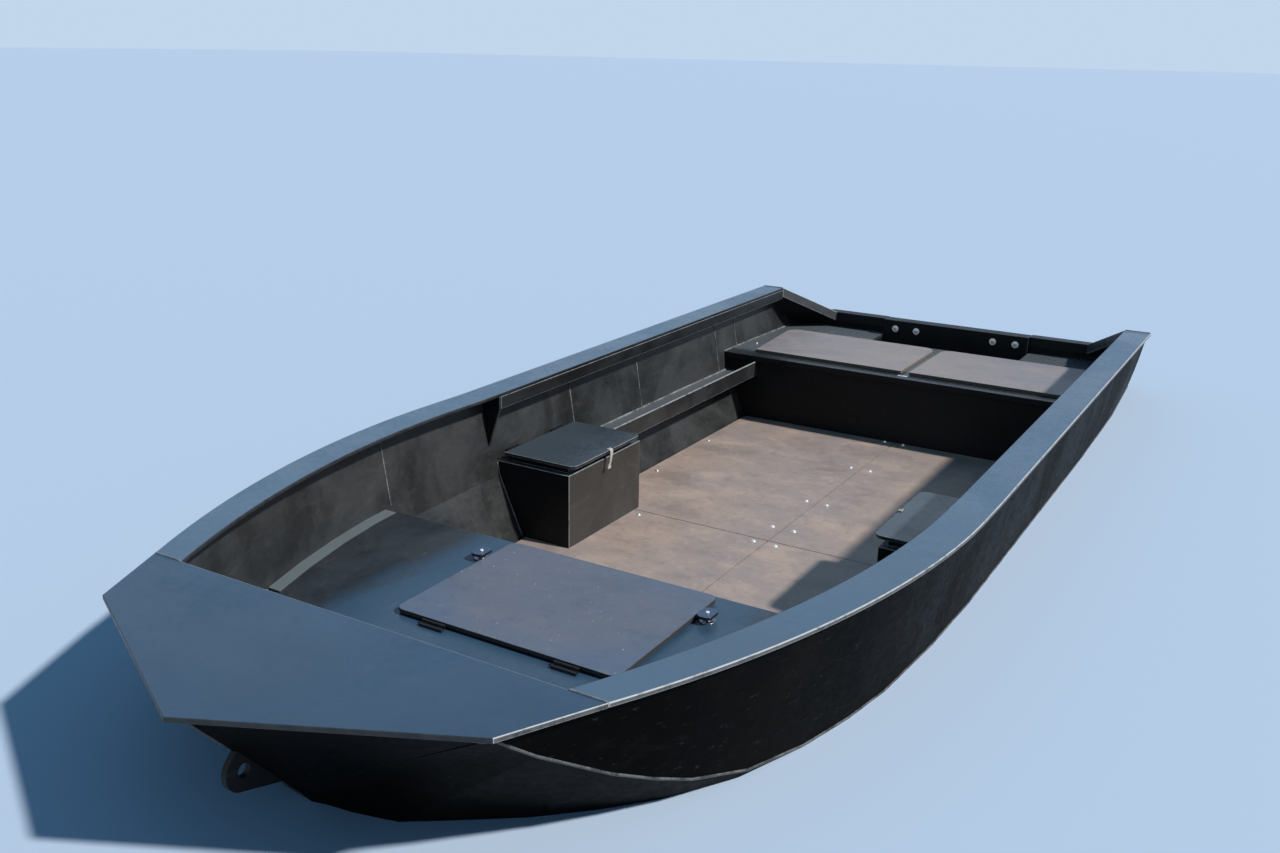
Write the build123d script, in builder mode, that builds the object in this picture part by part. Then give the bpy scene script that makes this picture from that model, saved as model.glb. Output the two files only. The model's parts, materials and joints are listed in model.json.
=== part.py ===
from build123d import *
import math
import os

# Open work boat of welded plastic plate with plywood sole and hatch lids.
# Millimetres. +X to the bow, +Y to port, +Z up. The origin lies on the centreline, amidships,
# in the plane of the still water on which the boat floats.

os.makedirs("parts", exist_ok=True)

# Plate and sheet thicknesses
hull_t = 12.0
deck_t = 12.0
panel_t = 10.0
ply_t = 15.0

# Levels above the water
sole_z = -225.0
bow_deck_top = 75.0
seat_deck_top = 104.0
box_rim_top = 65.0
tray_top = 11.0
rail_z = 344.0
transom_top_z = 188.0

# Rails along the top of the sides
rail_half = 1002.0
rail_w = 117.0
rail_overhang = 17.0
rail_joint_x = 420.0
rail_bend_x = 600.0
rail_aft_x = -2204.0
bow_rise = 0.0187
skirt_h = 48.0
knee_x = 333.0
knee_t = 12.0
knee_foot_z = 126.0

# Foredeck plate, seen from above
foredeck_aft_x = 2034.0
foredeck_aft_half = 663.0
foredeck_aft_rail_w = 98.0
shoulder_x = 2260.0
shoulder_half = 555.0
tip_x = 2537.0

# Stem and bow panels
stem_top_x = 2487.0
stem_rake = 0.853
stem_foot_x = 2215.0
stem_foot_z = 28.0
bow_corner_x = 2255.0
bow_corner_half = 538.0
bow_joint_x = 2248.0
bow_end_x = 2470.0
chine_drop = 3.0

# Stern
transom_x = -2540.0
transom_t = 25.0
corner_top_aft = (transom_x, 700.0, transom_top_z)
corner_foot = (transom_x, 900.0, -60.0)
transom_lip_x = -2486.0
transom_lip_half = 676.0
cap_outer_half = 792.0
cap_end_half = 712.0
cap_overhang = 12.0
motor_board_half = 388.0
motor_board_t = 50.0

# Hull stations. Columns: x, keel z, knuckle y, knuckle z, chine y, chine z
HULL_TABLE = [
    (-2620.0, -318.0, 795.0, -255.0, 886.0, 3.0),
    (-1900.0, -325.0, 812.0, -260.0, 922.0, 3.0),
    (-1200.0, -325.0, 815.0, -260.0, 932.0, 3.0),
    (420.0, -325.0, 812.0, -260.0, 932.0, 3.0),
    (1064.0, -317.0, 765.0, -250.0, 898.0, 3.0),
    (1419.0, -297.0, 680.0, -233.0, 826.0, 8.0),
    (1612.0, -275.0, 590.0, -208.0, 771.0, 28.0),
    (1779.0, -240.0, 480.0, -168.0, 716.0, 78.0),
    (1985.0, -165.0, 320.0, -105.0, 640.0, 180.0),
    (2148.0, -58.0, 150.0, -48.0, 572.0, 286.0),
    (2201.0, 8.0, 60.0, 42.0, 550.0, 327.0),
    (2255.0, 74.9, 60.0, 107.4, 538.0, 366.3),
]
longest_bow_run = 200.0
STATIONS = []
for row, after in zip(HULL_TABLE, HULL_TABLE[1:]):
    STATIONS.append(row[0])
    if row[0] >= rail_joint_x and after[0] - row[0] > longest_bow_run:
        STATIONS.append((row[0] + after[0]) / 2)
STATIONS.append(bow_joint_x)

# Bow deck, its hatch and the bulkhead below its aft edge
bow_deck_aft_x = 935.0
bow_bulkhead_x = 947.0
deck_strip_w = 46.0
deck_strip_t = 6.0
deck_strip_aft_x = 955.0
deck_strip_fore_x = 1598.0
hatch_aft_x = 965.0
hatch_fore_x = 1516.0
hatch_half = 363.0
hatch_lid_t = 12.0
hatch_lift = 5.0
hatch_overhang = 20.0
hatch_corner_r = 28.0
coaming_depth = 40.0
latch_x = 1090.0
latch_lid_gap = 6.0
latch_length = 66.0
latch_w = 46.0
latch_corner_r = 18.0
latch_cap_t = 9.0
latch_post_r = 10.0
latch_foot_t = 4.0

# Lockers along the sides
box_aft_x = -208.0
box_fore_x = 305.0
box_face_y = 599.0
box_lid_aft_x = -180.0
box_lid_fore_x = 299.0
box_lid_in_y = 579.0
box_lid_t = 12.0
box_coaming_h = 24.0
box_coaming_inset = 22.0
lid_corner_r = 30.0

# Side trays
tray_lip_y = 750.0
tray_lip_h = 64.0

# Stern seat with two lids, and the well in front of the transom
seat_front_x = -1605.0
seat_wall_x = -1640.0
seat_lip_h = 28.0
seat_lid_fore_x = -1688.0
seat_lid_aft_x = -2230.0
seat_lid_in_y = 20.0
seat_lid_out_fore = 790.0
seat_lid_out_aft = 840.0
seat_lid_t = 14.0
seat_lid_corner_r = 60.0
seat_ledge = 30.0
well_fore_x = -2290.0
well_half = 390.0
well_floor_top = 30.0

# Sole sheets on their bearers and keelson
sole_seam_x = -180.0
sole_half = 806.0
sole_gap = 3.0
sole_edge_gap = 3.0
bearer_t = 12.0
keelson_w = 120.0
BEARER_X = [-1615.0, -1164.0, -657.0, -320.0, -145.0, 330.0, 800.0]

# Eye plate on the stem
eye_x = 2371.0
eye_z = 180.0
eye_hole_r = 16.0
eye_r = 46.0
eye_t = 15.0
eye_top_z = 233.0
eye_foot_z = 98.0
eye_root = 6.0

# Hinges
hinge_r = 5.0
pin_r = 2.5
pin_play = 0.05
hinge_w = 79.0
hinge_knuckle = 26.0
hinge_sides = 8
hinge_axial_gap = 0.5
hinge_edge_gap = 1.5
hinge_side_gap = 1.5
leaf_t = 2.5
leaf_w = 30.0
leaf_play = 0.2
side_leaf_w = 20.0
hatch_leaf_w = 12.0
hatch_hinge_pitch = 434.0
box_hinge_pitch = 300.0
seat_hinge_pitch = 500.0
lid_gap = 1.0

rise_stretch = math.hypot(1.0, bow_rise)


def between(x, column):
    """Smooth value of one column of the hull table at station x."""
    rows = HULL_TABLE
    last = len(rows) - 2
    i = 0
    while i < last and x > rows[i + 1][0]:
        i += 1
    x0, x1 = rows[i][0], rows[i + 1][0]
    y0, y1 = rows[i][column], rows[i + 1][column]
    chord = (y1 - y0) / (x1 - x0)
    before = chord
    after = chord
    if i > 0:
        before = (y1 - rows[i - 1][column]) / (x1 - rows[i - 1][0])
    if i < last:
        after = (rows[i + 2][column] - y0) / (rows[i + 2][0] - x0)
    if x0 < rail_joint_x:
        before = chord
        after = chord
    t = (x - x0) / (x1 - x0)
    span = x1 - x0
    return (y0 * (2 * t**3 - 3 * t**2 + 1) + before * span * (t**3 - 2 * t**2 + t)
            + y1 * (3 * t**2 - 2 * t**3) + after * span * (t**3 - t**2))


def rail_top(x):
    """Height of the top of rail and foredeck at x."""
    return rail_z + bow_rise * max(0.0, x - rail_joint_x)


def rail_low(x):
    """Height of the underside of rail and foredeck at x."""
    return rail_top(x) - deck_t * (rise_stretch if x > rail_joint_x else 1.0)


def bend_radius(half_aft, half_fore):
    """Radius of the plan curve that leaves the straight rail at rail_bend_x."""
    run = foredeck_aft_x - rail_bend_x
    drop = half_aft - half_fore
    return (run**2 + drop**2) / (2 * drop)


def sheer_y(x):
    """Half breadth of the side's outer face under the rail."""
    half_aft = rail_half - rail_overhang
    half_fore = foredeck_aft_half - rail_overhang
    if x <= rail_bend_x:
        return half_aft
    if x <= foredeck_aft_x:
        r = bend_radius(half_aft, half_fore)
        return half_aft - r + math.sqrt(r**2 - (x - rail_bend_x)**2)
    t = (x - foredeck_aft_x) / (bow_corner_x - foredeck_aft_x)
    return half_fore + t * (bow_corner_half - half_fore)


def outer_line(x):
    """Keel, knuckle, chine and sheer points (y, z) of the outer skin."""
    return [(0.0, between(x, 1)), (between(x, 2), between(x, 3)),
            (between(x, 4), between(x, 5)), (sheer_y(x), rail_low(x))]


def shifted(a, b, t):
    """Point and direction of the line a-b moved inwards by t."""
    dy, dz = b[0] - a[0], b[1] - a[1]
    size = math.hypot(dy, dz)
    dy, dz = dy / size, dz / size
    return (a[0] - dz * t, a[1] + dy * t), (dy, dz)


def cross_at(first, second):
    """Crossing point of two lines given as point and direction."""
    (ay, az), (uy, uz) = first
    (by, bz), (vy, vz) = second
    det = uy * -vz + uz * vy
    s = ((by - ay) * -vz + (bz - az) * vy) / det
    return ay + s * uy, az + s * uz


def mitre(corner, before, after):
    """Inner corner of two plates that meet at corner, from their directions."""
    n1 = (-before[1], before[0])
    n2 = (-after[1], after[0])
    reach = hull_t / (1 + n1[0] * n2[0] + n1[1] * n2[1])
    return corner[0] + (n1[0] + n2[0]) * reach, corner[1] + (n1[1] + n2[1]) * reach


def inner_line(points):
    """The same points on the inner faces of the plates."""
    keel, knuckle, chine, sheer = points
    flat = shifted(keel, knuckle, hull_t)
    bilge = shifted(knuckle, chine, hull_t)
    side = shifted(chine, sheer, hull_t)
    inner_chine = mitre(chine, bilge[1], side[1])
    highest = sheer[1] - chine_drop
    if inner_chine[1] > highest:
        inner_chine = cross_at(bilge, ((0.0, highest), (1.0, 0.0)))
    return [cross_at(flat, ((0.0, 0.0), (0.0, 1.0))), mitre(knuckle, flat[1], bilge[1]),
            inner_chine, cross_at(side, ((0.0, sheer[1]), (1.0, 0.0)))]


def line_half(x, z):
    """Half breadth inside the plates at one station."""
    line = inner_line(outer_line(x))
    for low, high in zip(line, line[1:]):
        if low[1] <= z <= high[1]:
            return low[0] + (high[0] - low[0]) * (z - low[1]) / (high[1] - low[1])
    return line[-1][0]


def inner_half(x, z):
    """Half breadth inside the plates at any x, straight between the stations."""
    for x0, x1 in zip(STATIONS, STATIONS[1:]):
        if x0 <= x <= x1:
            t = (x - x0) / (x1 - x0)
            return line_half(x0, z) * (1 - t) + line_half(x1, z) * t
    return line_half(STATIONS[0], z)


def mirrored(points):
    """Both sides of an outline given from the centreline outwards."""
    return [(-y, z) for y, z in reversed(points) if y > 0.01] + points


def stem_z(x):
    """Height of the stem line at x."""
    return stem_foot_z + (x - stem_foot_x) / stem_rake


def bow_section(x):
    """Outline of the port bow panel forward of the shoulder."""
    share = (stem_top_x - x) / (stem_top_x - STATIONS[-1])
    top = (sheer_y(STATIONS[-1]) * share, rail_low(x))
    foot = (0.0, stem_z(x))
    skin = shifted(foot, top, hull_t)
    inner_foot = cross_at(skin, ((0.0, 0.0), (0.0, 1.0)))
    inner_top = cross_at(skin, ((0.0, top[1]), (1.0, 0.0)))
    return [foot, top, inner_top, inner_foot]


def station_plane(x):
    """Plane across the boat at x, with sketch X to port and sketch Y up."""
    return Plane(origin=(x, 0, 0), x_dir=(0, 1, 0), z_dir=(1, 0, 0))


# The stern corner is a flat facet through the rail's end and two points of the transom
corner_top_fore = Vector(rail_aft_x, rail_half - rail_overhang, rail_z)
corner_edge = Vector(*corner_top_aft) - corner_top_fore
corner_fall = Vector(*corner_foot) - corner_top_fore
corner_normal = corner_fall.cross(corner_edge).normalized()


def corner_plane(sign, depth):
    """Facet of one stern corner, moved inwards by depth. Its normal points out of the boat."""
    normal = Vector(corner_normal.X, corner_normal.Y * sign, corner_normal.Z)
    origin = Vector(corner_top_fore.X, corner_top_fore.Y * sign, corner_top_fore.Z)
    return Plane(origin=origin - normal * depth, z_dir=normal)


# Solid of everything inside the outer skin, aft of the bow corner
with BuildPart() as outer_body:
    for x in STATIONS:
        with BuildSketch(station_plane(x)):
            with BuildLine():
                Polyline(mirrored(outer_line(x)), close=True)
            make_face()
    loft(ruled=True)
    split(bisect_by=Plane(origin=(transom_x, 0, 0), z_dir=(1, 0, 0)), keep=Keep.TOP)

# Solid of the free space inside the plates
with BuildPart() as cavity:
    for x in STATIONS:
        with BuildSketch(station_plane(x)):
            with BuildLine():
                Polyline(mirrored(inner_line(outer_line(x))), close=True)
            make_face()
    loft(ruled=True)
    split(bisect_by=Plane(origin=(transom_x + transom_t, 0, 0), z_dir=(1, 0, 0)), keep=Keep.TOP)
    for sign in (1, -1):
        split(bisect_by=corner_plane(sign, hull_t), keep=Keep.BOTTOM)


def finish(builder, label):
    """Names one finished piece and writes it."""
    builder.part.label = label
    export_step(builder.part, "parts/" + label + ".step")


# Bottom of each side: flat panel and bilge strake in one folded skin, up to the stem
with BuildPart() as bottom_port:
    for x in STATIONS:
        skin = outer_line(x)
        lining = inner_line(skin)
        with BuildSketch(station_plane(x)):
            with BuildLine():
                Polyline(skin[:3] + list(reversed(lining[:3])), close=True)
            make_face()
    loft(ruled=True)
    for x in (STATIONS[-1], bow_end_x):
        with BuildSketch(station_plane(x)):
            with BuildLine():
                Polyline(bow_section(x), close=True)
            make_face()
    loft(ruled=True)
    split(bisect_by=Plane(origin=(transom_x + transom_t, 0, 0), z_dir=(1, 0, 0)), keep=Keep.TOP)
    split(bisect_by=corner_plane(1, hull_t), keep=Keep.BOTTOM)
finish(bottom_port, "bottom_port")
with BuildPart() as bottom_starboard:
    mirror(bottom_port.part, about=Plane.XZ)
finish(bottom_starboard, "bottom_starboard")

# Sides
with BuildPart() as side_port:
    for x in STATIONS:
        skin = outer_line(x)
        lining = inner_line(skin)
        with BuildSketch(station_plane(x)):
            with BuildLine():
                Polyline([skin[2], skin[3], lining[3], lining[2]], close=True)
            make_face()
    loft(ruled=True)
    split(bisect_by=Plane(origin=(transom_x + transom_t, 0, 0), z_dir=(1, 0, 0)), keep=Keep.TOP)
    split(bisect_by=corner_plane(1, hull_t), keep=Keep.BOTTOM)
finish(side_port, "side_port")
with BuildPart() as side_starboard:
    mirror(side_port.part, about=Plane.XZ)
finish(side_starboard, "side_starboard")

# Slope of the caps over the stern corners
cap_slope = (rail_z - transom_top_z) / (rail_aft_x - transom_lip_x)
transom_inner_x = transom_x + transom_t
cap_aft_x = transom_x - cap_overhang


def cap_height(x, drop):
    """Height of the stern caps at x, lowered by drop."""
    return transom_top_z - drop + cap_slope * max(0.0, x - transom_lip_x)


def block(x0, x1, y0, y1, z0, z1, mode=Mode.ADD):
    """Rectangular block between two corners, inside the open part."""
    with Locations(((x0 + x1) / 2, (y0 + y1) / 2, (z0 + z1) / 2)):
        Box(x1 - x0, y1 - y0, z1 - z0, mode=mode)


# Transom, higher between the two ends of its cap where the motor board stands
with BuildPart() as transom:
    block(transom_x, transom_inner_x, -rail_half, rail_half, -rail_z, transom_top_z)
    add(outer_body.part, mode=Mode.INTERSECT)
    for sign in (1, -1):
        split(bisect_by=corner_plane(sign, hull_t), keep=Keep.BOTTOM)
        side_cut = sorted((sign * motor_board_half, sign * rail_half))
        block(transom_x, transom_inner_x, *side_cut, transom_top_z - deck_t, rail_z,
              mode=Mode.SUBTRACT)
finish(transom, "transom")

# Flat facets that close the stern corners
with BuildPart() as corner_port:
    add(outer_body.part)
    split(bisect_by=corner_plane(1, 0), keep=Keep.BOTTOM)
    split(bisect_by=corner_plane(1, hull_t), keep=Keep.TOP)
    with BuildSketch(Plane.XZ):
        Polygon((transom_x - rail_half, cap_height(transom_x, deck_t)),
                (transom_lip_x, cap_height(transom_lip_x, deck_t)),
                (rail_aft_x, cap_height(rail_aft_x, deck_t)),
                (rail_aft_x, 2 * rail_z), (transom_x - rail_half, 2 * rail_z), align=None)
    extrude(amount=2 * rail_half, both=True, mode=Mode.SUBTRACT)
with BuildPart() as corners:
    add(corner_port.part)
    mirror(about=Plane.XZ)
finish(corners, "corner_plates")

# Caps over the stern corners, with the lip along their inner edges
cap_stretch = math.hypot(1.0, cap_slope)
inner_run = Vector(rail_aft_x - transom_lip_x, rail_half - rail_w - transom_lip_half)
lip_shift = inner_run.normalized().rotate(Axis.Z, 90) * deck_t


def on_cap(x, y):
    """Sketch point of the sloping cap plane over plan position x, y."""
    return (x - transom_lip_x) * cap_stretch, y


cap_plane = Plane(origin=(transom_lip_x, 0, transom_top_z), x_dir=(1, 0, cap_slope),
                  z_dir=(-cap_slope, 0, 1))
with BuildPart() as corner_cap_port:
    with BuildSketch(cap_plane):
        Polygon(on_cap(rail_aft_x, rail_half - rail_w), on_cap(rail_aft_x, rail_half),
                on_cap(transom_lip_x, cap_outer_half), on_cap(transom_lip_x, transom_lip_half),
                align=None)
    extrude(amount=deck_t, dir=(0, 0, -1))
    with BuildSketch(cap_plane):
        Polygon(on_cap(rail_aft_x, rail_half - rail_w),
                on_cap(rail_aft_x, rail_half - rail_w + lip_shift.length),
                on_cap(transom_lip_x, transom_lip_half + lip_shift.length),
                on_cap(transom_lip_x, transom_lip_half), align=None)
    extrude(amount=skirt_h, dir=(0, 0, -1))
with BuildPart() as corner_caps:
    add(corner_cap_port.part)
    mirror(about=Plane.XZ)
finish(corner_caps, "corner_caps")

# Cap along each half of the transom, outboard of the motor board
with BuildPart() as transom_cap_port:
    with BuildSketch(Plane.XY.offset(transom_top_z - deck_t)):
        Polygon((transom_lip_x, motor_board_half), (transom_lip_x, cap_outer_half),
                (cap_aft_x, cap_end_half), (cap_aft_x, motor_board_half), align=None)
    extrude(amount=deck_t)
    block(transom_lip_x - deck_t, transom_lip_x, motor_board_half, transom_lip_half,
          transom_top_z - skirt_h, transom_top_z - deck_t)
with BuildPart() as transom_caps:
    add(transom_cap_port.part)
    mirror(about=Plane.XZ)
finish(transom_caps, "transom_caps")

# Rails: a level strip aft, then a strip that rises and bends in towards the foredeck
rail_in_half = rail_half - rail_w
for side, sign in (("port", 1), ("starboard", -1)):
    with BuildPart() as rail_aft:
        edge = sorted((sign * rail_in_half, sign * rail_half))
        block(rail_aft_x, rail_joint_x, *edge, rail_z - deck_t, rail_z)
    finish(rail_aft, "rail_aft_" + side)

bow_plane = Plane(origin=(rail_joint_x, 0, rail_z), x_dir=(1, 0, bow_rise),
                  z_dir=(-bow_rise, 0, 1))


def on_rise(x, y):
    """Sketch point of the rising bow plane over plan position x, y."""
    return (x - rail_joint_x) * rise_stretch, y


with BuildPart() as rail_fore_port:
    with BuildSketch(bow_plane):
        with BuildLine():
            bend_out = on_rise(rail_bend_x, rail_half)
            bend_in = on_rise(rail_bend_x, rail_in_half)
            end_out = on_rise(foredeck_aft_x, foredeck_aft_half)
            end_in = on_rise(foredeck_aft_x, foredeck_aft_half - foredeck_aft_rail_w)
            Line(on_rise(rail_joint_x, rail_in_half), on_rise(rail_joint_x, rail_half))
            Line(on_rise(rail_joint_x, rail_half), bend_out)
            TangentArc(bend_out, end_out, tangent=(1, 0))
            Line(end_out, end_in)
            TangentArc(bend_in, end_in, tangent=(1, 0))
            Line(bend_in, on_rise(rail_joint_x, rail_in_half))
        make_face()
    extrude(amount=-deck_t)
finish(rail_fore_port, "rail_fore_port")
with BuildPart() as rail_fore_starboard:
    mirror(rail_fore_port.part, about=Plane.XZ)
finish(rail_fore_starboard, "rail_fore_starboard")

# Lips under the inner edges of the aft rails, ended by knees
with BuildPart() as skirts:
    block(rail_aft_x, knee_x, rail_in_half, rail_in_half + deck_t,
          rail_z - deck_t - skirt_h, rail_z - deck_t)
    mirror(about=Plane.XZ)
finish(skirts, "rail_lips")
with BuildPart() as knees:
    knee_foot_y = inner_half(knee_x, knee_foot_z)
    with BuildSketch(station_plane(knee_x)):
        Polygon((rail_in_half, rail_z - deck_t), (rail_in_half, rail_z - deck_t - skirt_h),
                (knee_foot_y, knee_foot_z), (rail_half, knee_foot_z),
                (rail_half, rail_z - deck_t), align=None)
    extrude(amount=knee_t)
    add(cavity.part, mode=Mode.INTERSECT)
    mirror(about=Plane.XZ)
finish(knees, "rail_knees")

# Foredeck
with BuildPart() as foredeck:
    with BuildSketch(bow_plane):
        Polygon(on_rise(foredeck_aft_x, foredeck_aft_half), on_rise(shoulder_x, shoulder_half),
                on_rise(tip_x, 0), on_rise(shoulder_x, -shoulder_half),
                on_rise(foredeck_aft_x, -foredeck_aft_half), align=None)
    extrude(amount=-deck_t)
finish(foredeck, "foredeck")

# Bow deck with its hatch opening, and the bulkhead below its aft edge
opening_aft_x = hatch_aft_x + hatch_overhang
opening_fore_x = hatch_fore_x - hatch_overhang
opening_half = hatch_half - hatch_overhang
opening_x = (opening_aft_x + opening_fore_x) / 2
opening_length = opening_fore_x - opening_aft_x
bow_deck_low = bow_deck_top - deck_t
with BuildPart() as bow_deck:
    block(bow_deck_aft_x, stem_top_x, -rail_half, rail_half, bow_deck_low, bow_deck_top)
    add(cavity.part, mode=Mode.INTERSECT)
    with BuildSketch(Plane.XY.offset(bow_deck_low)):
        with Locations((opening_x, 0)):
            RectangleRounded(opening_length, 2 * opening_half, hatch_corner_r)
    extrude(amount=deck_t, mode=Mode.SUBTRACT)
finish(bow_deck, "bow_deck")
with BuildPart() as bulkhead:
    block(bow_bulkhead_x, bow_bulkhead_x + panel_t, -rail_half, rail_half,
          -rail_z, bow_deck_low)
    add(cavity.part, mode=Mode.INTERSECT)
finish(bulkhead, "bow_bulkhead")
strip_bends = [x for x in STATIONS if deck_strip_aft_x < x < deck_strip_fore_x]
with BuildPart() as strips:
    with BuildSketch(Plane.XY.offset(bow_deck_top)):
        inner_edge = []
        for x in [deck_strip_aft_x] + strip_bends + [deck_strip_fore_x]:
            inner_edge.append((x, inner_half(x, bow_deck_top) - deck_strip_w))
        Polygon(*inner_edge, (deck_strip_fore_x, rail_half), (deck_strip_aft_x, rail_half),
                align=None)
    extrude(amount=deck_strip_t)
    add(cavity.part, mode=Mode.INTERSECT)
    mirror(about=Plane.XZ)
finish(strips, "deck_strips")

# Undersides of the lids
hatch_lid_low = bow_deck_top + hatch_lift + lid_gap
box_lid_low = box_rim_top + box_coaming_h + lid_gap
seat_lid_low = seat_deck_top + lid_gap

# Hinges stand beside the lids' edges. In a hinge's own plane the pin runs along X, the lid lies
# towards -Y, Z is up, and barrel and leaves stand level with the lid's underside.
hinge_reach = hinge_r + hinge_edge_gap
leaf_drop = hinge_r - leaf_t / 2
leaf_root = hinge_r / 4
box_middle_x = (box_lid_aft_x + box_lid_fore_x) / 2
box_lid_out_y = (inner_half(box_middle_x, box_lid_low) - hinge_side_gap - side_leaf_w
                 - 2 * hinge_reach)
hatch_pin_x = hatch_fore_x + hinge_reach
box_pin_y = box_lid_out_y + hinge_reach
seat_pin_x = seat_lid_aft_x - hinge_reach
seat_middle_y = (seat_lid_in_y + seat_lid_out_aft) / 2

# Columns: pin X, pin Y, lid underside, pin direction, pitch of the pair, fixed width, cleat height
HINGES = {
    "hatch": (hatch_pin_x, 0.0, hatch_lid_low, (0, -1, 0), hatch_hinge_pitch, hatch_leaf_w,
              hatch_lid_low - bow_deck_top),
    "box_port": (box_middle_x, box_pin_y, box_lid_low, (1, 0, 0), box_hinge_pitch, side_leaf_w,
                 box_lid_low - box_rim_top),
    "box_starboard": (box_middle_x, -box_pin_y, box_lid_low, (-1, 0, 0), box_hinge_pitch,
                      side_leaf_w, box_lid_low - box_rim_top),
    "seat_port": (seat_pin_x, seat_middle_y, seat_lid_low, (0, 1, 0), seat_hinge_pitch, leaf_w,
                  seat_lid_low - seat_deck_top),
    "seat_starboard": (seat_pin_x, -seat_middle_y, seat_lid_low, (0, 1, 0), seat_hinge_pitch,
                       leaf_w, seat_lid_low - seat_deck_top),
}


def hinge_pair(lid):
    """Planes of the two hinges of one lid."""
    x, y, underside, along, pitch, width, height = HINGES[lid]
    middle = Vector(x, y, underside + hinge_r)
    places = []
    for side in (1, -1):
        origin = middle + Vector(*along) * (side * pitch / 2)
        places.append(Plane(origin=origin, x_dir=along, z_dir=(0, 0, 1)))
    return places


def leaf_pockets(lid):
    """Cuts the pockets for the moving leaves into a lid's underside."""
    for place in hinge_pair(lid):
        with Locations(place):
            with Locations((0, -hinge_reach - (leaf_w + leaf_play) / 2, -leaf_drop)):
                Box(hinge_w + 2 * leaf_play, leaf_w + leaf_play, leaf_t, mode=Mode.SUBTRACT)


# Hatch: a coaming ring set in the opening, the lid, and two turn latches beside it
hatch_lid_top = hatch_lid_low + hatch_lid_t
with BuildPart() as coaming:
    with BuildSketch(Plane.XY.offset(bow_deck_top + hatch_lift - coaming_depth)):
        with Locations((opening_x, 0)):
            RectangleRounded(opening_length, 2 * opening_half, hatch_corner_r)
            RectangleRounded(opening_length - 2 * panel_t, 2 * opening_half - 2 * panel_t,
                             hatch_corner_r - panel_t, mode=Mode.SUBTRACT)
    extrude(amount=coaming_depth)
finish(coaming, "hatch_coaming")
with BuildPart() as hatch_lid:
    with BuildSketch(Plane.XY.offset(hatch_lid_low)):
        with Locations(((hatch_aft_x + hatch_fore_x) / 2, 0)):
            RectangleRounded(hatch_fore_x - hatch_aft_x, 2 * hatch_half, hatch_corner_r)
    extrude(amount=hatch_lid_t)
    leaf_pockets("hatch")
finish(hatch_lid, "hatch_lid")
latch_y = hatch_half + latch_lid_gap + latch_w / 2
with BuildPart() as latches:
    with Locations((latch_x, latch_y, bow_deck_top), (latch_x, -latch_y, bow_deck_top)):
        Cylinder(latch_w / 2, latch_foot_t, align=(Align.CENTER, Align.CENTER, Align.MIN))
        Cylinder(latch_post_r, hatch_lid_top - bow_deck_top,
                 align=(Align.CENTER, Align.CENTER, Align.MIN))
    with BuildSketch(Plane.XY.offset(hatch_lid_top)):
        with Locations((latch_x, latch_y), (latch_x, -latch_y)):
            RectangleRounded(latch_length, latch_w, latch_corner_r)
    extrude(amount=latch_cap_t)
finish(latches, "hatch_latches")

# Sole: four sheets on bearers that stand on the bottom, tied by a T-shaped keelson
sole_low = sole_z - ply_t
sole_aft_x = seat_wall_x + panel_t
sole_fore_x = bow_bulkhead_x
with BuildPart() as sole_frame:
    for x in BEARER_X:
        block(x - bearer_t / 2, x + bearer_t / 2, -sole_half, sole_half, -rail_z, sole_low)
    block(sole_aft_x, sole_fore_x, -bearer_t / 2, bearer_t / 2, -rail_z, sole_low)
    block(sole_aft_x, sole_fore_x, -keelson_w / 2, keelson_w / 2, sole_low - bearer_t, sole_low)
    add(cavity.part, mode=Mode.INTERSECT)
finish(sole_frame, "sole_frame")
for side, sign in (("port", 1), ("starboard", -1)):
    for end, x0, x1 in (("aft", sole_aft_x, sole_seam_x - sole_gap / 2),
                        ("fore", sole_seam_x + sole_gap / 2, sole_fore_x - sole_gap)):
        with BuildPart() as sheet:
            with BuildSketch(Plane.XY.offset(sole_low)):
                edge = []
                for x in (x0, x0 + (x1 - x0) / 3, x0 + (x1 - x0) * 2 / 3, x1):
                    half = min(sole_half, inner_half(x, sole_low) - sole_edge_gap)
                    edge.append((x, sign * half))
                Polygon((x1, sign * sole_gap / 2), (x0, sign * sole_gap / 2), *edge, align=None)
            extrude(amount=ply_t)
        finish(sheet, "sole_" + end + "_" + side)

# Locker on each side: face and end walls, rim, and a raised coaming under the lid
coaming_x0 = box_lid_aft_x + box_coaming_inset
coaming_x1 = box_lid_fore_x - box_coaming_inset
coaming_y0 = box_face_y + box_coaming_inset
coaming_y1 = box_lid_out_y - box_coaming_inset
with BuildPart() as box_port:
    block(box_aft_x, box_fore_x, box_face_y, rail_half, sole_z, box_rim_top)
    block(box_aft_x + panel_t, box_fore_x - panel_t, box_face_y + panel_t, rail_half,
          sole_z, box_rim_top - panel_t, mode=Mode.SUBTRACT)
    block(coaming_x0, coaming_x1, coaming_y0, coaming_y1, box_rim_top,
          box_rim_top + box_coaming_h)
    block(coaming_x0 + panel_t, coaming_x1 - panel_t, coaming_y0 + panel_t,
          coaming_y1 - panel_t, box_rim_top - panel_t, box_rim_top + box_coaming_h,
          mode=Mode.SUBTRACT)
    add(cavity.part, mode=Mode.INTERSECT)
finish(box_port, "box_port")
with BuildPart() as box_starboard:
    mirror(box_port.part, about=Plane.XZ)
finish(box_starboard, "box_starboard")
with BuildPart() as box_lid_port:
    with BuildSketch(Plane.XY.offset(box_lid_low)):
        with Locations(((box_lid_aft_x + box_lid_fore_x) / 2, (box_lid_in_y + box_lid_out_y) / 2)):
            Rectangle(box_lid_fore_x - box_lid_aft_x, box_lid_out_y - box_lid_in_y)
    extrude(amount=box_lid_t)
    fillet(box_lid_port.edges().filter_by(Axis.Z).group_by(Axis.Y)[0], lid_corner_r)
    leaf_pockets("box_port")
finish(box_lid_port, "box_lid_port")
with BuildPart() as box_lid_starboard:
    mirror(box_lid_port.part, about=Plane.XZ)
finish(box_lid_starboard, "box_lid_starboard")

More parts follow.
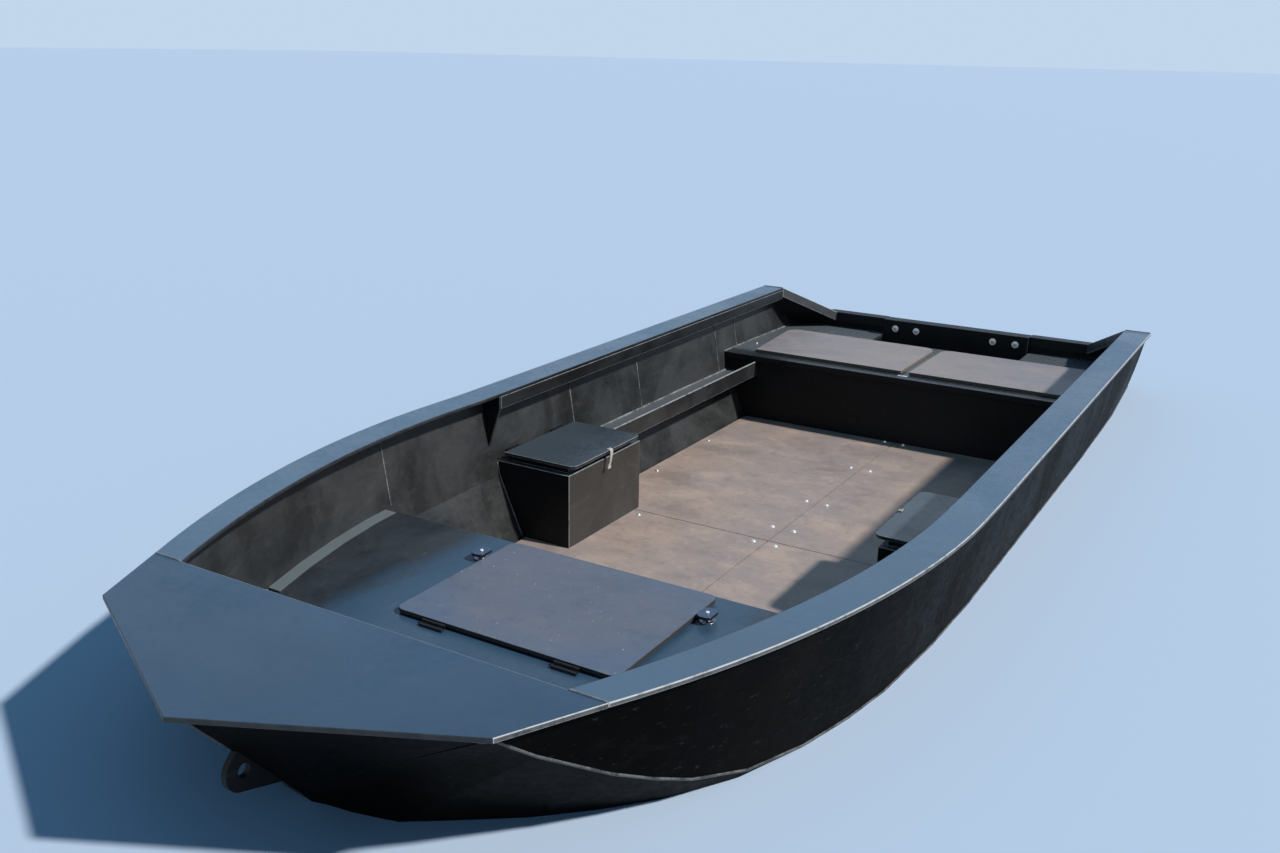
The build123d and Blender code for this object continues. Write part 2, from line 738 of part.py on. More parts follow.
# Side trays between the lockers and the stern seat
with BuildPart() as tray_port:
    block(sole_aft_x, box_aft_x, tray_lip_y, rail_half, tray_top - panel_t, tray_top)
    block(sole_aft_x, box_aft_x, tray_lip_y, tray_lip_y + panel_t, tray_top, tray_top + tray_lip_h)
    add(cavity.part, mode=Mode.INTERSECT)
finish(tray_port, "tray_port")
with BuildPart() as tray_starboard:
    mirror(tray_port.part, about=Plane.XZ)
finish(tray_starboard, "tray_starboard")

# Stern seat: deck with openings for two lids and the motor well, front lip and front wall
seat_deck_low = seat_deck_top - deck_t
seat_hole_aft_x = seat_lid_aft_x + seat_ledge
seat_hole_fore_x = seat_lid_fore_x - seat_ledge
seat_hole_in_y = seat_lid_in_y + seat_ledge
seat_hole_out_y = seat_lid_out_fore - seat_ledge
with BuildPart() as seat_deck:
    block(transom_inner_x, seat_front_x, -rail_half, rail_half, seat_deck_low, seat_deck_top)
    block(seat_front_x - deck_t, seat_front_x, -rail_half, rail_half,
          seat_deck_top - seat_lip_h, seat_deck_low)
    add(cavity.part, mode=Mode.INTERSECT)
    block(transom_inner_x, well_fore_x, -well_half, well_half, seat_deck_low, seat_deck_top,
          mode=Mode.SUBTRACT)
    for sign in (1, -1):
        hole = sorted((sign * seat_hole_in_y, sign * seat_hole_out_y))
        block(seat_hole_aft_x, seat_hole_fore_x, *hole, seat_deck_low, seat_deck_top,
              mode=Mode.SUBTRACT)
finish(seat_deck, "seat_deck")
with BuildPart() as seat_wall:
    block(seat_wall_x, seat_wall_x + panel_t, -rail_half, rail_half, -rail_z, seat_deck_low)
    add(cavity.part, mode=Mode.INTERSECT)
finish(seat_wall, "seat_wall")
with BuildPart() as seat_lid_port:
    with BuildSketch(Plane.XY.offset(seat_lid_low)) as outline:
        Polygon((seat_lid_fore_x, seat_lid_in_y), (seat_lid_fore_x, seat_lid_out_fore),
                (seat_lid_aft_x, seat_lid_out_aft), (seat_lid_aft_x, seat_lid_in_y), align=None)
        fillet(outline.vertices().group_by(Axis.X)[0], seat_lid_corner_r)
    extrude(amount=seat_lid_t)
    leaf_pockets("seat_port")
finish(seat_lid_port, "seat_lid_port")
with BuildPart() as seat_lid_starboard:
    mirror(seat_lid_port.part, about=Plane.XZ)
finish(seat_lid_starboard, "seat_lid_starboard")

# Motor well and motor board
with BuildPart() as well:
    block(transom_inner_x, well_fore_x + panel_t, -well_half - panel_t, well_half + panel_t,
          well_floor_top - panel_t, seat_deck_low)
    block(transom_inner_x, well_fore_x, -well_half, well_half, well_floor_top, seat_deck_low,
          mode=Mode.SUBTRACT)
finish(well, "motor_well")
with BuildPart() as motor_board:
    block(transom_inner_x, transom_inner_x + motor_board_t, -motor_board_half, motor_board_half,
          well_floor_top, transom_top_z)
finish(motor_board, "motor_board")

# Eye plate on the stem
with BuildPart() as eye:
    with BuildSketch(Plane.XZ):
        with BuildLine():
            top_x = stem_foot_x + (eye_top_z - stem_foot_z) * stem_rake
            foot_x = stem_foot_x + (eye_foot_z - stem_foot_z) * stem_rake
            Line((top_x - eye_root, eye_top_z), (foot_x - eye_root, eye_foot_z))
            CenterArc((eye_x, eye_z), eye_r, 0, 360)
        make_hull()
        with Locations((eye_x, eye_z)):
            Circle(eye_hole_r, mode=Mode.SUBTRACT)
    extrude(amount=eye_t / 2, both=True)
    split(bisect_by=Plane(origin=(stem_foot_x - eye_root, 0, stem_foot_z),
                          z_dir=(1, 0, -stem_rake)), keep=Keep.TOP)
    add(bottom_port.part, mode=Mode.SUBTRACT)
    add(bottom_starboard.part, mode=Mode.SUBTRACT)
finish(eye, "bow_eye")


# Hinges: leaves let into the lids, fixed leaves on cleats, and faceted barrels and pins
def barrel(place, x0, x1, radius, mode=Mode.ADD, across_corners=True):
    """Faceted bar around the pin's axis, from x0 to x1 along it."""
    end = Plane(origin=place.from_local_coords(Vector(x0, 0, 0)), x_dir=place.y_dir,
                z_dir=place.x_dir)
    with BuildSketch(end) as outline:
        RegularPolygon(radius, hinge_sides, major_radius=across_corners)
    extrude(outline.sketch, amount=x1 - x0, mode=mode)


def leaf(place, y0, y1, x0, x1):
    """Flat of a leaf between two corners in the hinge's plane."""
    with Locations(place):
        with Locations(((x0 + x1) / 2, (y0 + y1) / 2, -leaf_drop)):
            Box(x1 - x0, y1 - y0, leaf_t)


def fixed_half(place, width):
    """Fixed leaf, its two barrels and the pin."""
    half = hinge_w / 2
    inner = hinge_knuckle / 2 + hinge_axial_gap
    leaf(place, hinge_reach, hinge_reach + width, -half, half)
    for x0, x1 in ((-half, -inner), (inner, half)):
        leaf(place, leaf_root, hinge_reach, x0, x1)
        barrel(place, x0, x1, hinge_r)
    barrel(place, -half, half, pin_r)


def moving_half(place):
    """Moving leaf with its one barrel, bored for the pin."""
    half = hinge_w / 2
    leaf(place, -hinge_reach - leaf_w, -hinge_reach, -half, half)
    leaf(place, -hinge_reach, -leaf_root, -hinge_knuckle / 2, hinge_knuckle / 2)
    barrel(place, -hinge_knuckle / 2, hinge_knuckle / 2, hinge_r)
    barrel(place, -half, half, pin_r + pin_play, mode=Mode.SUBTRACT, across_corners=False)


def cleat(place, width, height):
    """Block that carries the fixed leaf."""
    with Locations(place):
        with Locations((0, hinge_reach + width / 2, -hinge_r - height / 2)):
            Box(hinge_w, width, height)


with BuildPart() as fixed_leaves:
    for lid, row in HINGES.items():
        for place in hinge_pair(lid):
            fixed_half(place, row[5])
finish(fixed_leaves, "hinge_leaves_fixed")
with BuildPart() as cleats:
    for lid, row in HINGES.items():
        for place in hinge_pair(lid):
            cleat(place, row[5], row[6])
    add(cavity.part, mode=Mode.INTERSECT)
finish(cleats, "hinge_cleats")
for lid in HINGES:
    with BuildPart() as moving_leaves:
        for place in hinge_pair(lid):
            moving_half(place)
    finish(moving_leaves, "hinge_leaves_" + lid)
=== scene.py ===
"""Finish of the flat-decked plastic work boat: plates, plywood, welds, screws and fittings."""

import json
import math

import bmesh
import bpy
from mathutils import Matrix, Vector, geometry, noise
from mathutils.bvhtree import BVHTree

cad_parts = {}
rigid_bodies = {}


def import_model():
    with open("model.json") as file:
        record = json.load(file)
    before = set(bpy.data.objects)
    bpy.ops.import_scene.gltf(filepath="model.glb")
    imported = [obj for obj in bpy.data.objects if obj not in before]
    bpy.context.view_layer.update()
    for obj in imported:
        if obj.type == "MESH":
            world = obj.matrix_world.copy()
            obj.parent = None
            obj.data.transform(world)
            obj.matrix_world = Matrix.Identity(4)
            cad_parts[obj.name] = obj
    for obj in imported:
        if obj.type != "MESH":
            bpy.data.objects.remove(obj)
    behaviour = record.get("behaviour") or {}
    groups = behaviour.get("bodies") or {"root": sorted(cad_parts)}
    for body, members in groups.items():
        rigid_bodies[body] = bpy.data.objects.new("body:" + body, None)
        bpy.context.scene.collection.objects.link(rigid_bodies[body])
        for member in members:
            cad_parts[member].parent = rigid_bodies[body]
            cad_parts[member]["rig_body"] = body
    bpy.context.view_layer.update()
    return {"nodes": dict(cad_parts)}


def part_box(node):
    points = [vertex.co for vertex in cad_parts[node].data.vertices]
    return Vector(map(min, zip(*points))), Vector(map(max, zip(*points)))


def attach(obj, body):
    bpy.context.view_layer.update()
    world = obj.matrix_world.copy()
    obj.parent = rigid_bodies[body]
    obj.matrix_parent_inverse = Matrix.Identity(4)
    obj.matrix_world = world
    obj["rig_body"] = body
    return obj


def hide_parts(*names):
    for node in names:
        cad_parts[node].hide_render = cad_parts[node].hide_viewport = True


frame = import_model()
NODES = frame["nodes"]


# Camera of the photograph, in metres and degrees
CAMERA_PLACE = (3.784, 1.752, 1.587)
CAMERA_PITCH = -17.5226
CAMERA_ROLL = -1.0720
CAMERA_YAW = -30.5127
FOCAL_PIXELS = 1203.58
IMAGE_WIDTH = 1280
SENSOR_WIDTH = 36.0

# Light: a sun with its spread in degrees, a dim sky, and what the floor shows and what it throws back
SUN_TO = (0.11, -0.75, -0.72)
SUN_TINT = (1.0, 0.97, 0.93)
SUN_STRENGTH = 3.5
SUN_SPREAD = 3.0
SKY_FILL = 0.23
SKY_TINT = (0.27, 0.62, 1.0)
BACKDROP = (0.54, 0.67, 0.84)
FLOOR_BOUNCE = (0.10, 0.11, 0.11)

# Floor at the waterline: half its width, and how far it reaches in under the hull's outline
FLOOR_REACH = 150.0
FLOOR_TUCK = 0.004
FLOOR_ROUGH = 0.9

# Cleaning of the CAD meshes: distances that count as none, and degrees that count as flat and as sharp
SAME_CORNER = 1e-5
SAME_PLANE = 1e-4
FLAT_ANGLE = 0.2
SHARP_ANGLE = 28

# Places of the finishes on a dressed node
FACE, EDGE, CUT, OTHER = range(4)

# How far a face's normal leans a given way before it counts as looking that way
EDGE_FORWARD = 0.7
WALL_FORWARD = 0.9
ANY_FORWARD = 0.35
EDGE_INBOARD = 0.3

# The line inside the hull that its outer faces look away from: its ends' x, and its height
CORE_AFT = -1.5
CORE_FORE = 1.2
CORE_Z = 0.34

# Rounded edges, and the widest face that counts as a plate's cut edge
PLATE_EDGE = 0.0020
RAIL_EDGE = 0.0026
PLY_EDGE = 0.0012
STRIP_EDGE = 0.0014
CLEAT_EDGE = 0.0004
LATCH_EDGE = 0.0014
HASP_EDGE = 0.0008
KEEPER_EDGE = 0.0009
CUT_WIDTH = 0.0145

# Plywood's veneers, and the glue lines between them
VENEER = 0.0030

# Welds: radii, then the ripples' spacing and depth, the bead's unevenness, and its narrow ends
WELD_R = 0.0040
SEAM_R = 0.0032
TRAY_BEAD_R = 0.0055
RIPPLE = 0.010
WELD_RIPPLE = 0.12
SEAM_RIPPLE = 0.05
UNEVEN = 0.16
UNEVEN_SCALE = 22
BEAD_END = 0.45
BEAD_SIDES = 6

# Angles in degrees up to which a mesh is shaded smooth
PLATE_SMOOTH = 50
WELD_SMOOTH = 80
SCREW_SMOOTH = 35

# Levels and lines of the boat that the fittings are set to, and the plates' thickness
PLATE = 0.012
SOLE_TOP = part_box("sole_aft_port")[1].z
DECK_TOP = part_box("bow_deck")[1].z
SEAT_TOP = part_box("seat_deck")[1].z
TRAY_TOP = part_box("tray_port")[0].z + 0.010
LIP_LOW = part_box("rail_lips")[0].z
RAIL_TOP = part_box("rail_aft_port")[1].z
RAIL_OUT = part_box("rail_aft_port")[1].y
RAIL_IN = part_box("rail_aft_port")[0].y
RAIL_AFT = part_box("rail_aft_port")[0].x
RAIL_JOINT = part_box("rail_fore_port")[0].x
BOARD_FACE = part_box("motor_board")[1].x
TRANSOM_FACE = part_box("transom")[0].x

# Bow: the rails' rise for each metre, the foredeck's aft corner and shoulder as x, y, the stem as x, z
BOW_RISE = 0.0187
FOREDECK_AFT = (2.034, 0.663)
RAIL_FORE_IN = 0.565
SHOULDER = (2.260, 0.555)
STEM_FOOT = (2.215, 0.028)
STEM_TOP = (2.487, 0.347)

# Turn latches: their place, and the heights above which a face and a rounded edge are the cap's
LATCH_X = 1.090
LATCH_Y = 0.392
LATCH_CAP_LOW = 0.0935
LATCH_RIM_LOW = 0.0925

# Outer seams: the shoulder's inset, the transom's edge as y, z, and the shares of the stem clear of its eye
SHOULDER_INSET = 0.014
TRANSOM_EDGE = ((0.708, 0.174), (0.881, -0.004))
STEM_BEADS = ((0, 0.22), (0.68, 0.985))

# Inner seams along the boat: the x that they run from and to, and their number of steps
TRAY_SEAM = (-1.604, -0.212, 30)
SEAT_SEAM = (-2.46, -1.61, 20)
LOCKER_SEAM = (-0.205, 0.303, 12)
DECK_SEAM = (1.600, 2.05, 14)
LOCKER_SEAM_Z = 0.0655
SEAM_UP = 0.001

# Upright seams at a locker's ends, as x: their heights on the bottom plate and on the side plate
LOCKER_ENDS = (-0.208, 0.305)
LOCKER_LOW = (SOLE_TOP + 0.004, -0.01, 6)
LOCKER_HIGH = (0.012, 0.06, 3)

# Seams across the rails: how far inside the edges they stop, and their height over the aft rail
SEAM_INSET = 0.002
JOINT_UP = 0.0002

# Sole screws on washers: pairs along the keelson, and single ones near the sole's edges, as x, y
SCREW_PAIRS_X = (-1.615, -1.164, -0.657, -0.320, -0.145)
SCREW_PAIR_Y = 0.046
SIDE_SCREWS = ((-1.149, 0.770), (-0.638, 0.761), (-0.136, 0.557))
SOLE_SCREW_R = 0.0075
SOLE_WASHER = ((0.0105, 0), (0.0105, 0.0009), (0.0095, 0.0012))
WASHER_SUNK = 0.0004

# Screw near each end of the seat, and the screws of the latches' feet and caps
SEAT_SCREW = (-1.860, 0.869)
SEAT_SCREW_R = 0.007
SEAT_SCREW_SUNK = 0.0002
LATCH_FOOT = 0.0038
FOOT_SCREW_OFF = 0.016
FOOT_SCREW_R = 0.0028
CAP_SCREW_Z = 0.1018
CAP_SCREW_R = 0.0062

# Bolts through motor board and transom, as y
BOARD_BOLTS = (-0.324, -0.207, 0.207, 0.324)
BOARD_BOLT_Z = 0.142
BOARD_BOLT_R = 0.0095
BOARD_BOLT_SUNK = 0.0005

# Places along the sides where welds of frames show through, as x. They start above tray or deck, and
# end behind the rail's lip, or forward of its end just under the rail
FRAME_X = (0.925, -0.225, -0.765, -1.530, -1.745)
TRAY_GAP = 0.004
DECK_GAP = 0.006
LIP_FORE = 0.345
LIP_COVER = 0.045
RAIL_GAP = 0.002

# Hasp of a locker lid, from its screwed end on the lid: distance from the centreline, height, width.
# Below the lid it leans towards the bow
HASP_X = 0.050
HASP_PATH = ((0.590, 0.1040, 0.022), (0.582, 0.1040, 0.022), (0.5765, 0.1025, 0.021),
             (0.5735, 0.0960, 0.020), (0.5735, 0.0740, 0.016), (0.5745, 0.0560, 0.013),
             (0.5770, 0.0440, 0.014), (0.5765, 0.0360, 0.022), (0.5760, 0.0290, 0.022))
HASP_T = 0.0040
HASP_LEAN = 0.18
HASP_SCREW_Y = 0.586
HASP_SCREW_UP = 0.0035

# Keeper plate between the seat lids
KEEPER_X = -1.652
KEEPER_SIZE = (0.020, 0.046, 0.003)
KEEPER_UP = 0.0012
KEEPER_SCREW_Y = 0.018
KEEPER_SCREW_UP = 0.0025
SMALL_SCREW_R = 0.0036


class Graph:
    """Short calls for the nodes of one material."""

    def __init__(self, name):
        self.mat = bpy.data.materials.new(name)
        self.mat.use_nodes = True
        self.tree = self.mat.node_tree
        self.bsdf = self.tree.nodes["Principled BSDF"]
        self.place = self.add("ShaderNodeTexCoord").outputs["Object"]

    def add(self, kind, settings=None, **inputs):
        """A new node with its settings, and its inputs set or linked."""
        node = self.tree.nodes.new(kind)
        for key, value in (settings or {}).items():
            setattr(node, key, value)
        for key, value in inputs.items():
            self.put(node.inputs[key.replace("_", " ")], value)
        return node

    def put(self, socket, value):
        """Links a node's output to a socket, or sets its value."""
        if isinstance(value, bpy.types.NodeSocket):
            self.tree.links.new(value, socket)
        else:
            socket.default_value = value

    def stretched(self, scale):
        """Object coordinates, scaled apart along the three axes."""
        node = self.add("ShaderNodeMapping", Vector=self.place)
        node.inputs["Scale"].default_value = scale
        return node.outputs[0]

    def clouds(self, scale, detail=4.0, roughness=0.55, vector=None, distortion=0.0):
        """Cloudy noise from 0 to 1."""
        node = self.add("ShaderNodeTexNoise", Vector=vector or self.place, Scale=scale,
                        Detail=detail, Roughness=roughness, Distortion=distortion)
        return node.outputs["Fac"]

    def ramp(self, factor, low, high, dark=0.0, light=1.0):
        """Smooth step from dark to light as the factor goes from low to high."""
        node = self.add("ShaderNodeMapRange", {"interpolation_type": "SMOOTHSTEP"}, Value=factor)
        for key, value in (("From Min", low), ("From Max", high), ("To Min", dark), ("To Max", light)):
            node.inputs[key].default_value = value
        return node.outputs[0]

    def math(self, operation, first, second=0.0):
        """Result of a math node."""
        node = self.add("ShaderNodeMath", {"operation": operation})
        self.put(node.inputs[0], first)
        self.put(node.inputs[1], second)
        return node.outputs[0]

    def mix(self, factor, first, second):
        """Colour between two others."""
        node = self.add("ShaderNodeMix", {"data_type": "RGBA"})
        self.put(node.inputs[0], factor)
        for socket, value in ((node.inputs[6], first), (node.inputs[7], second)):
            self.put(socket, value if isinstance(value, bpy.types.NodeSocket) else (*value, 1.0))
        return node.outputs[2]

    def seen(self):
        """1 where a ray from the camera, a mirror or glass looks."""
        rays = self.add("ShaderNodeLightPath").outputs
        mirrored = self.math("MAXIMUM", rays["Is Glossy Ray"], rays["Is Transmission Ray"])
        return self.math("MAXIMUM", rays["Is Camera Ray"], mirrored)

    def upward(self):
        """1 where a surface looks up, 0 where it looks to the side or down."""
        normal = self.add("ShaderNodeTexCoord").outputs["Normal"]
        height = self.add("ShaderNodeSeparateXYZ", Vector=normal).outputs["Z"]
        return self.ramp(height, 0.45, 0.95)

    def bump(self, height, distance, strength, under=None):
        """Surface normal with a height on it, on top of another bump where one is given."""
        node = self.add("ShaderNodeBump", Height=height)
        node.inputs["Distance"].default_value = distance
        node.inputs["Strength"].default_value = strength
        if under is not None:
            self.put(node.inputs["Normal"], under)
        return node.outputs[0]

    def finish(self, colour, roughness, normal=None):
        """The material, with its colour, roughness and normal in place."""
        self.put(self.bsdf.inputs["Base Color"], colour)
        self.put(self.bsdf.inputs["Roughness"], roughness)
        if normal is not None:
            self.put(self.bsdf.inputs["Normal"], normal)
        return self.mat


def plate(name, deep, cloudy, dust_and_sheen_tint, rough, scuffs=0.35, shine=0.5, trodden_and_sheen_fade=None, hairs=0.0):
    """Black welded plate: cloudy wear, scratches, and on faces that look up a tint of dust and painted sky
    reflection.
    """
    g = Graph(name)
    patches = g.ramp(g.clouds(2.4, 7.0, 0.62, distortion=0.6), 0.34, 0.66)
    smudges = g.ramp(g.clouds(6.5, 7.0, 0.7, vector=g.stretched((1.0, 1.0, 2.2)), distortion=1.0), 0.50, 0.72)
    fine = g.clouds(46.0, 5.0, 0.65)
    colour = g.mix(patches, deep, cloudy)
    colour = g.mix(g.math("MULTIPLY", smudges, 0.35), colour, tuple(1.6 * part + 0.004 for part in cloudy))
    # Faces that look up take dust_and_sheen_tint: partly dust, partly a painted reflection of the sky
    dust_and_sheen = g.math("MULTIPLY", g.upward(), g.ramp(g.clouds(1.7, 5.0, 0.6), 0.20, 0.80, 0.76, 1.0))
    # Past a given line the dust and the painted sky sheen fade to a tenth: the plate there is trodden and
    # shows no painted reflection
    if trodden_and_sheen_fade:
        axis, start, stop = trodden_and_sheen_fade
        across = g.math("ABSOLUTE", g.add("ShaderNodeSeparateXYZ", Vector=g.place).outputs[axis])
        worn = g.math("ADD", across, g.ramp(patches, 0, 1, -0.03, 0.03))
        dust_and_sheen = g.math("MULTIPLY", dust_and_sheen, g.ramp(worn, start, stop, 1.0, 0.10))
    colour = g.mix(dust_and_sheen, colour, dust_and_sheen_tint)
    scratch = g.clouds(9.0, 8.0, 0.75, vector=g.stretched((1.0, 9.0, 9.0)))
    scratch = g.ramp(scratch, 0.58, 0.72, 0.0, scuffs)
    colour = g.mix(g.math("MULTIPLY", scratch, fine), colour, (0.22, 0.23, 0.24))
    for turn in ((0.5, 16.0, 10.0), (9.0, 9.0, 0.7), (14.0, 1.0, 12.0)):
        if hairs:
            drawn = g.clouds(4.0, 9.0, 0.8, vector=g.stretched(turn), distortion=0.4)
            colour = g.mix(g.ramp(drawn, 0.66, 0.74, 0.0, hairs), colour, (0.17, 0.18, 0.18))
    roughness = g.math("ADD", g.ramp(fine, 0.3, 0.7, -0.05, 0.07), g.ramp(patches, 0, 1, rough, rough + 0.12))
    waves = g.bump(g.clouds(1.6, 1.0, 0.4, vector=g.stretched((2.2, 1.0, 0.7))), 0.018, 0.6)
    grain = g.bump(g.clouds(160.0, 3.0, 0.6), 0.0003, 0.25, under=waves)
    g.bsdf.inputs["Specular IOR Level"].default_value = shine
    return g.finish(colour, roughness, grain)


def edge_wear_and_painted_light(name, tone, low=0.30, high=0.58):
    """Planed and knocked edge of a plate, paler than its faces: real wear, and in the tone a painted
    highlight for pale edges, a painted shade for fore_edge.
    """
    g = Graph(name)
    nicks = g.ramp(g.clouds(30.0, 7.0, 0.72), low, high)
    colour = g.mix(nicks, tuple(0.30 * part for part in tone), tone)
    return g.finish(colour, g.ramp(nicks, 0, 1, 0.36, 0.5), g.bump(g.clouds(260.0), 0.0004, 0.6))


def weld_bead(name, valley, crest):
    """Extruded weld plastic with rubbed crests."""
    g = Graph(name)
    rubbed = g.ramp(g.clouds(24.0, 6.0, 0.7), 0.36, 0.62)
    colour = g.mix(rubbed, valley, crest)
    return g.finish(colour, g.ramp(rubbed, 0, 1, 0.34, 0.5), g.bump(g.clouds(190.0, 4.0, 0.7), 0.0006, 0.7))


def film_ply(name, cool, warm, dark, blots, specks=0.7, middle=0.0):
    """Film-faced plywood: warm and cool areas, smears, blots, scratches, pale specks."""
    g = Graph(name)
    pale = tuple(1.28 * part for part in warm)
    areas = g.ramp(g.clouds(1.3, 3.0, 0.5), 0.36, 0.64, 0.0, 0.8)
    if middle:
        across = g.math("ABSOLUTE", g.add("ShaderNodeSeparateXYZ", Vector=g.place).outputs["Y"])
        areas = g.math("MULTIPLY", areas, g.ramp(across, 0.05, middle, 0.15, 1.0))
    colour = g.mix(areas, cool, warm)
    smears = g.clouds(4.0, 8.0, 0.68, vector=g.stretched((1.5, 0.9, 1.0)), distortion=0.2)
    colour = g.mix(g.ramp(smears, 0.50, 0.66, 0.0, blots), colour, pale)
    colour = g.mix(g.ramp(smears, 0.49, 0.34, 0.0, blots), colour, dark)
    mottle = g.clouds(24.0, 6.0, 0.72)
    colour = g.mix(g.ramp(mottle, 0.52, 0.70, 0.0, 0.9 * blots), colour, dark)
    colour = g.mix(g.ramp(mottle, 0.46, 0.32, 0.0, 0.7 * blots), colour, pale)
    for turn in ((0.5, 15.0, 1.0), (11.0, 0.6, 1.0)):
        lines = g.clouds(5.0, 9.0, 0.8, vector=g.stretched(turn))
        colour = g.mix(g.ramp(lines, 0.67, 0.76, 0.0, 0.30), colour, dark)
    flecks = g.ramp(g.clouds(85.0, 1.0, 0.3), 0.76, 0.80, 0.0, specks)
    colour = g.mix(flecks, colour, (0.62, 0.60, 0.57))
    roughness = g.ramp(smears, 0.35, 0.70, 0.44, 0.62)
    weave = g.bump(g.clouds(300.0, 3.0, 0.6), 0.0003, 0.5)
    return g.finish(colour, roughness, g.bump(mottle, 0.0008, 0.35, under=weave))


def ply_edge(name, veneer, glue):
    """Cut edge of plywood: veneers with dark glue lines, weathered."""
    g = Graph(name)
    height = g.add("ShaderNodeSeparateXYZ", Vector=g.place).outputs["Z"]
    layers = g.math("SINE", g.math("MULTIPLY", height, 2 * math.pi / VENEER))
    worn = g.clouds(55.0, 6.0, 0.7)
    colour = g.mix(g.ramp(layers, -0.3, 0.9), veneer, glue)
    colour = g.mix(g.ramp(worn, 0.40, 0.70, 0.0, 0.7), colour, tuple(0.5 * part for part in veneer))
    return g.finish(colour, 0.72, g.bump(worn, 0.0006, 0.7))


def metal(name, tone, rough):
    """Zinc or stainless steel, slightly tarnished."""
    g = Graph(name)
    tarnish = g.clouds(90.0, 5.0, 0.65)
    colour = g.mix(g.ramp(tarnish, 0.40, 0.75, 0.0, 0.35), tone, tuple(0.45 * part for part in tone))
    g.bsdf.inputs["Metallic"].default_value = 1.0
    return g.finish(colour, g.ramp(tarnish, 0.3, 0.7, rough, rough + 0.18), g.bump(tarnish, 0.0002, 0.4))


def webbing(name, tone):
    """Woven strap, faded, with a twill across it."""
    g = Graph(name)
    weave = g.add("ShaderNodeTexWave", {"bands_direction": "DIAGONAL"}, Vector=g.place, Scale=260.0,
                  Distortion=0.6).outputs["Fac"]
    fade = g.clouds(120.0, 4.0, 0.6)
    colour = g.mix(g.ramp(weave, 0.2, 0.8), tuple(0.55 * part for part in tone), tone)
    colour = g.mix(g.ramp(fade, 0.45, 0.75, 0.0, 0.5), colour, tuple(0.6 * part for part in tone))
    return g.finish(colour, 0.85, g.bump(weave, 0.0006, 0.8))


